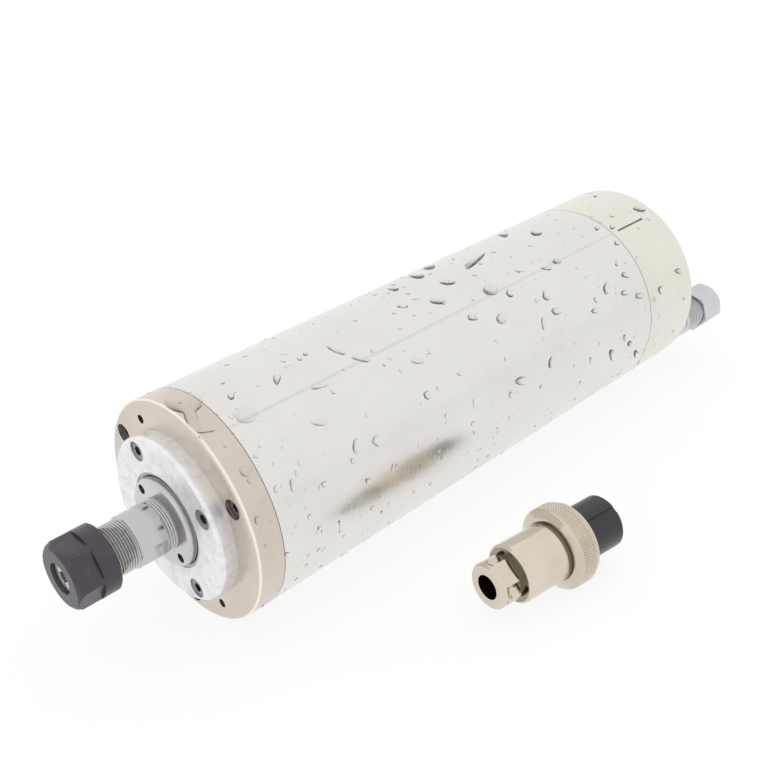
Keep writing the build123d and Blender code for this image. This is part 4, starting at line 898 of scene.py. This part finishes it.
class SPINDLE_OT_housing(bpy.types.Operator):
    """Finishes of the tube, flange, cap, cover and everything fixed inside them"""

    bl_idname = "spindle.housing"
    bl_label = "Housing finishes"

    def execute(self, context):
        c = context.scene.spindle_colours
        tube = node_span("outer_tube")
        # edge is the station of the painted highlight along the flange's front edge
        seam, edge = radians(113.6), 0.7
        # painted shade on the cap's surfaces below the body's radius, 2 to 18 mm behind the tube
        cap_groove_shade = (tube[1] + 2, tube[1] + 18, BODY_R, 0.85)
        finish_nodes(body_metal("tube_steel", c.tube, 0.24, 0.06, tube, seam=seam, smudge=0.05), "outer_tube")
        # the flange gets a painted highlight at station edge
        finish_nodes(
            body_metal("flange_nickel", c.nickel, 0.24, 0.08, tube[:1], 0.2, bright=(edge,), smudge=0.1),
            "front_flange",
        )
        finish_nodes(
            body_metal("cap_nickel", c.cap, 0.26, 0.08, tube[1:], 0.2, hollows=[cap_groove_shade]), "rear_cap"
        )
        finish_nodes(
            turned_metal(
                "cover_metal", c.cover, 0.32, 0.14, 2.2, 0.01, smudge=0.06, pits=0.3, wave=0.03,
                frost=c.frost, metallic=0.65,
            ),
            "front_cover",
        )
        finish_nodes(
            turned_metal("jacket_metal", c.cover, 0.33, 0.1, 1.4, 0.008, smudge=0.1),
            "water_jacket", "rear_bearing_housing", "rotor_end_rings",
        )
        screw_black = black_oxide("screw_black", c.black, (0.30, 0.29, 0.30))
        finish_nodes(screw_black, "front_tie_screws", "rear_tie_screws")
        finish_nodes(
            turned_metal("screw_steel", dim(c.shaft, 0.6), 0.3, 0.1, 2.0, 0.004, smudge=0.3),
            "front_cover_screws",
        )
        make_dust_shield(turned_metal("shield_steel", c.shaft, 0.3, 0.1, 2.0, 0.004, smudge=0.2))
        finish_nodes(moulded("seal", c.rubber, 0.5), "front_o_ring", "rear_o_ring")
        finish_nodes(
            turned_metal("race_steel", dim(c.shaft, 1.15), 0.14, 0.05, 2.4, 0.002, smudge=0.04),
            "front_bearing_outer_rings", "rear_bearing_outer_ring", "front_bearing_inner_rings",
            "rear_bearing_inner_ring", "front_bearing_cages", "rear_bearing_cage",
        )
        finish_nodes(
            turned_metal("spring_wire", dim(c.shaft, 0.7), 0.3, 0.1, 2.0, 0.004),
            "preload_spring", "plug_ring_washer",
        )
        finish_nodes(stacked_core("core_sheets", c.core), "stator_core", "rotor_core")
        finish_nodes(wound_wire("coil_wire", c.copper), "stator_windings")
        return {"FINISHED"}


class SPINDLE_OT_nose(bpy.types.Operator):
    """The threaded shaft, the lock rings, the collet and its black nut"""

    bl_idname = "spindle.nose"
    bl_label = "Shaft and collet"

    def execute(self, context):
        c, sizes = context.scene.spindle_colours, context.scene.spindle_sizes
        # painted shade in the roots of both threads on the shaft
        threads = [
            (NOSE_END, NOSE_THREAD[1] + 0.1, NOSE_R - 0.02, 0.45),
            (LOCK_THREAD[0] - 0.1, LOCK_THREAD[1], SEAT_R - 0.05, 0.45),
        ]
        steel = turned_metal("ground_steel", c.shaft, 0.13, 0.05, 2.0, 0.0008, smudge=0.07, hollows=threads)
        make_shaft(sizes, steel)
        finish_nodes(
            turned_metal("ring_steel", dim(c.shaft, 1.15), 0.22, 0.08, 2.0, 0.004, smudge=0.15, wave=0.02),
            "lock_ring", "rear_lock_nut",
        )
        collet_steel = turned_metal("collet_steel", dim(c.shaft, 1.5), 0.3, 0.1, 2.0, 0.004, smudge=0.02)
        finish_nodes(collet_steel, "collet")
        finish_nodes(black_oxide("nut_black", c.black, (0.26, 0.25, 0.27)), "collet_nut")
        return {"FINISHED"}


class SPINDLE_OT_fittings(bpy.types.Operator):
    """The hose fittings with their nuts and sleeves, and the power socket"""

    bl_idname = "spindle.fittings"
    bl_label = "Hose fittings and socket"

    def execute(self, context):
        c, sizes = context.scene.spindle_colours, context.scene.spindle_sizes
        for side in ("left", "right"):
            port = (0, PORTS[side][1], PORTS[side][2])
            nut = node_span(f"hose_nut_{side}")[0]
            # painted shade in the hose thread's roots and where the nut meets the fitting
            chrome = turned_metal(
                f"chrome_{side}", c.chrome, 0.09, 0.05, 2.0, 0.002, port, smudge=0.14, wave=0.05,
                hollows=[(BODY_END + 6.9, nut - 0.3, 5.98, 0.75), (nut - 0.4, nut + 0.2, 6.3, 0.85)],
            )
            make_fitting(side, sizes, chrome)
            finish_nodes(chrome, f"hose_nut_{side}")
            finish_nodes(
                turned_metal(f"brass_{side}", c.brass, 0.25, 0.1, 2.0, 0.005, port), f"hose_sleeve_{side}"
            )
        plate = turned_metal("socket_plate", c.plug, 0.14, 0.06, 2.0, 0.003, smudge=0.06)
        make_socket(sizes, plate)
        finish_nodes(plate, "socket_nut")
        finish_nodes(moulded("socket_plastic", c.insert, 0.42), "socket_insert")
        finish_nodes(turned_metal("pin_silver", dim(c.cover, 1.02), 0.16, 0.06, 3.0, 0.002), "socket_pins")
        return {"FINISHED"}


class SPINDLE_OT_plug(bpy.types.Operator):
    """The loose round plug: knurled ring, shell, cable clamp and insert"""

    bl_idname = "spindle.plug"
    bl_label = "Plug"

    def execute(self, context):
        c, sizes = context.scene.spindle_colours, context.scene.spindle_sizes
        # painted shade where the shell meets the coupling ring and at the step in front of the tail
        plate = turned_metal(
            "plug_plate", c.plug, 0.12, 0.06, 1.6, 0.003, PLUG_POINT, PLUG_YAW, smudge=0.22, wave=0.055,
            hollows=[(-0.3, 1.7, 9.2, 0.8), (-16.4, -14.6, 8.3, 0.6)],
        )
        make_coupling_ring(sizes, plate)
        finish_nodes(plate, "plug_shell", "plug_saddle", "plug_clamp_screws")
        finish_nodes(moulded("plug_plastic", dim(c.insert, 0.6), 0.27), "plug_insert")
        finish_nodes(
            turned_metal("plug_silver", dim(c.cover, 1.02), 0.16, 0.06, 3.0, 0.002, PLUG_POINT, PLUG_YAW),
            "plug_contacts",
        )
        return {"FINISHED"}


class SPINDLE_OT_drops(bpy.types.Operator):
    """Water drops on the body"""

    bl_idname = "spindle.drops"
    bl_label = "Water drops"

    def execute(self, context):
        make_drops(context.scene.spindle_sizes, water("clear_water"))
        return {"FINISHED"}


class SPINDLE_PT_panel(bpy.types.Panel):
    """Lists the spindle's operators with their sizes and colours"""

    bl_idname = "SPINDLE_PT_panel"
    bl_label = "Motor spindle"
    bl_space_type = "VIEW_3D"
    bl_region_type = "UI"
    bl_category = "Spindle"

    def draw(self, context):
        for operator in OPERATORS:
            self.layout.operator(operator.bl_idname)
        for group in (context.scene.spindle_sizes, context.scene.spindle_colours):
            box = self.layout.box()
            for name in group.__annotations__:
                box.prop(group, name)


OPERATORS = (
    SPINDLE_OT_studio, SPINDLE_OT_housing, SPINDLE_OT_nose, SPINDLE_OT_fittings, SPINDLE_OT_plug,
    SPINDLE_OT_drops,
)
CLASSES = (SpindleSizes, SpindleColours, *OPERATORS, SPINDLE_PT_panel)


def register():
    """Registers the classes and gives the scene its sizes and colours."""
    for made in CLASSES:
        bpy.utils.register_class(made)
    bpy.types.Scene.spindle_sizes = bpy.props.PointerProperty(type=SpindleSizes)
    bpy.types.Scene.spindle_colours = bpy.props.PointerProperty(type=SpindleColours)


def unregister():
    """Takes away what register added."""
    del bpy.types.Scene.spindle_sizes, bpy.types.Scene.spindle_colours
    for made in reversed(CLASSES):
        bpy.utils.unregister_class(made)


def main():
    register()
    bpy.ops.spindle.studio()
    bpy.ops.spindle.housing()
    bpy.ops.spindle.nose()
    bpy.ops.spindle.fittings()
    bpy.ops.spindle.plug()
    bpy.ops.spindle.drops()


if __name__ == "__main__":
    main()
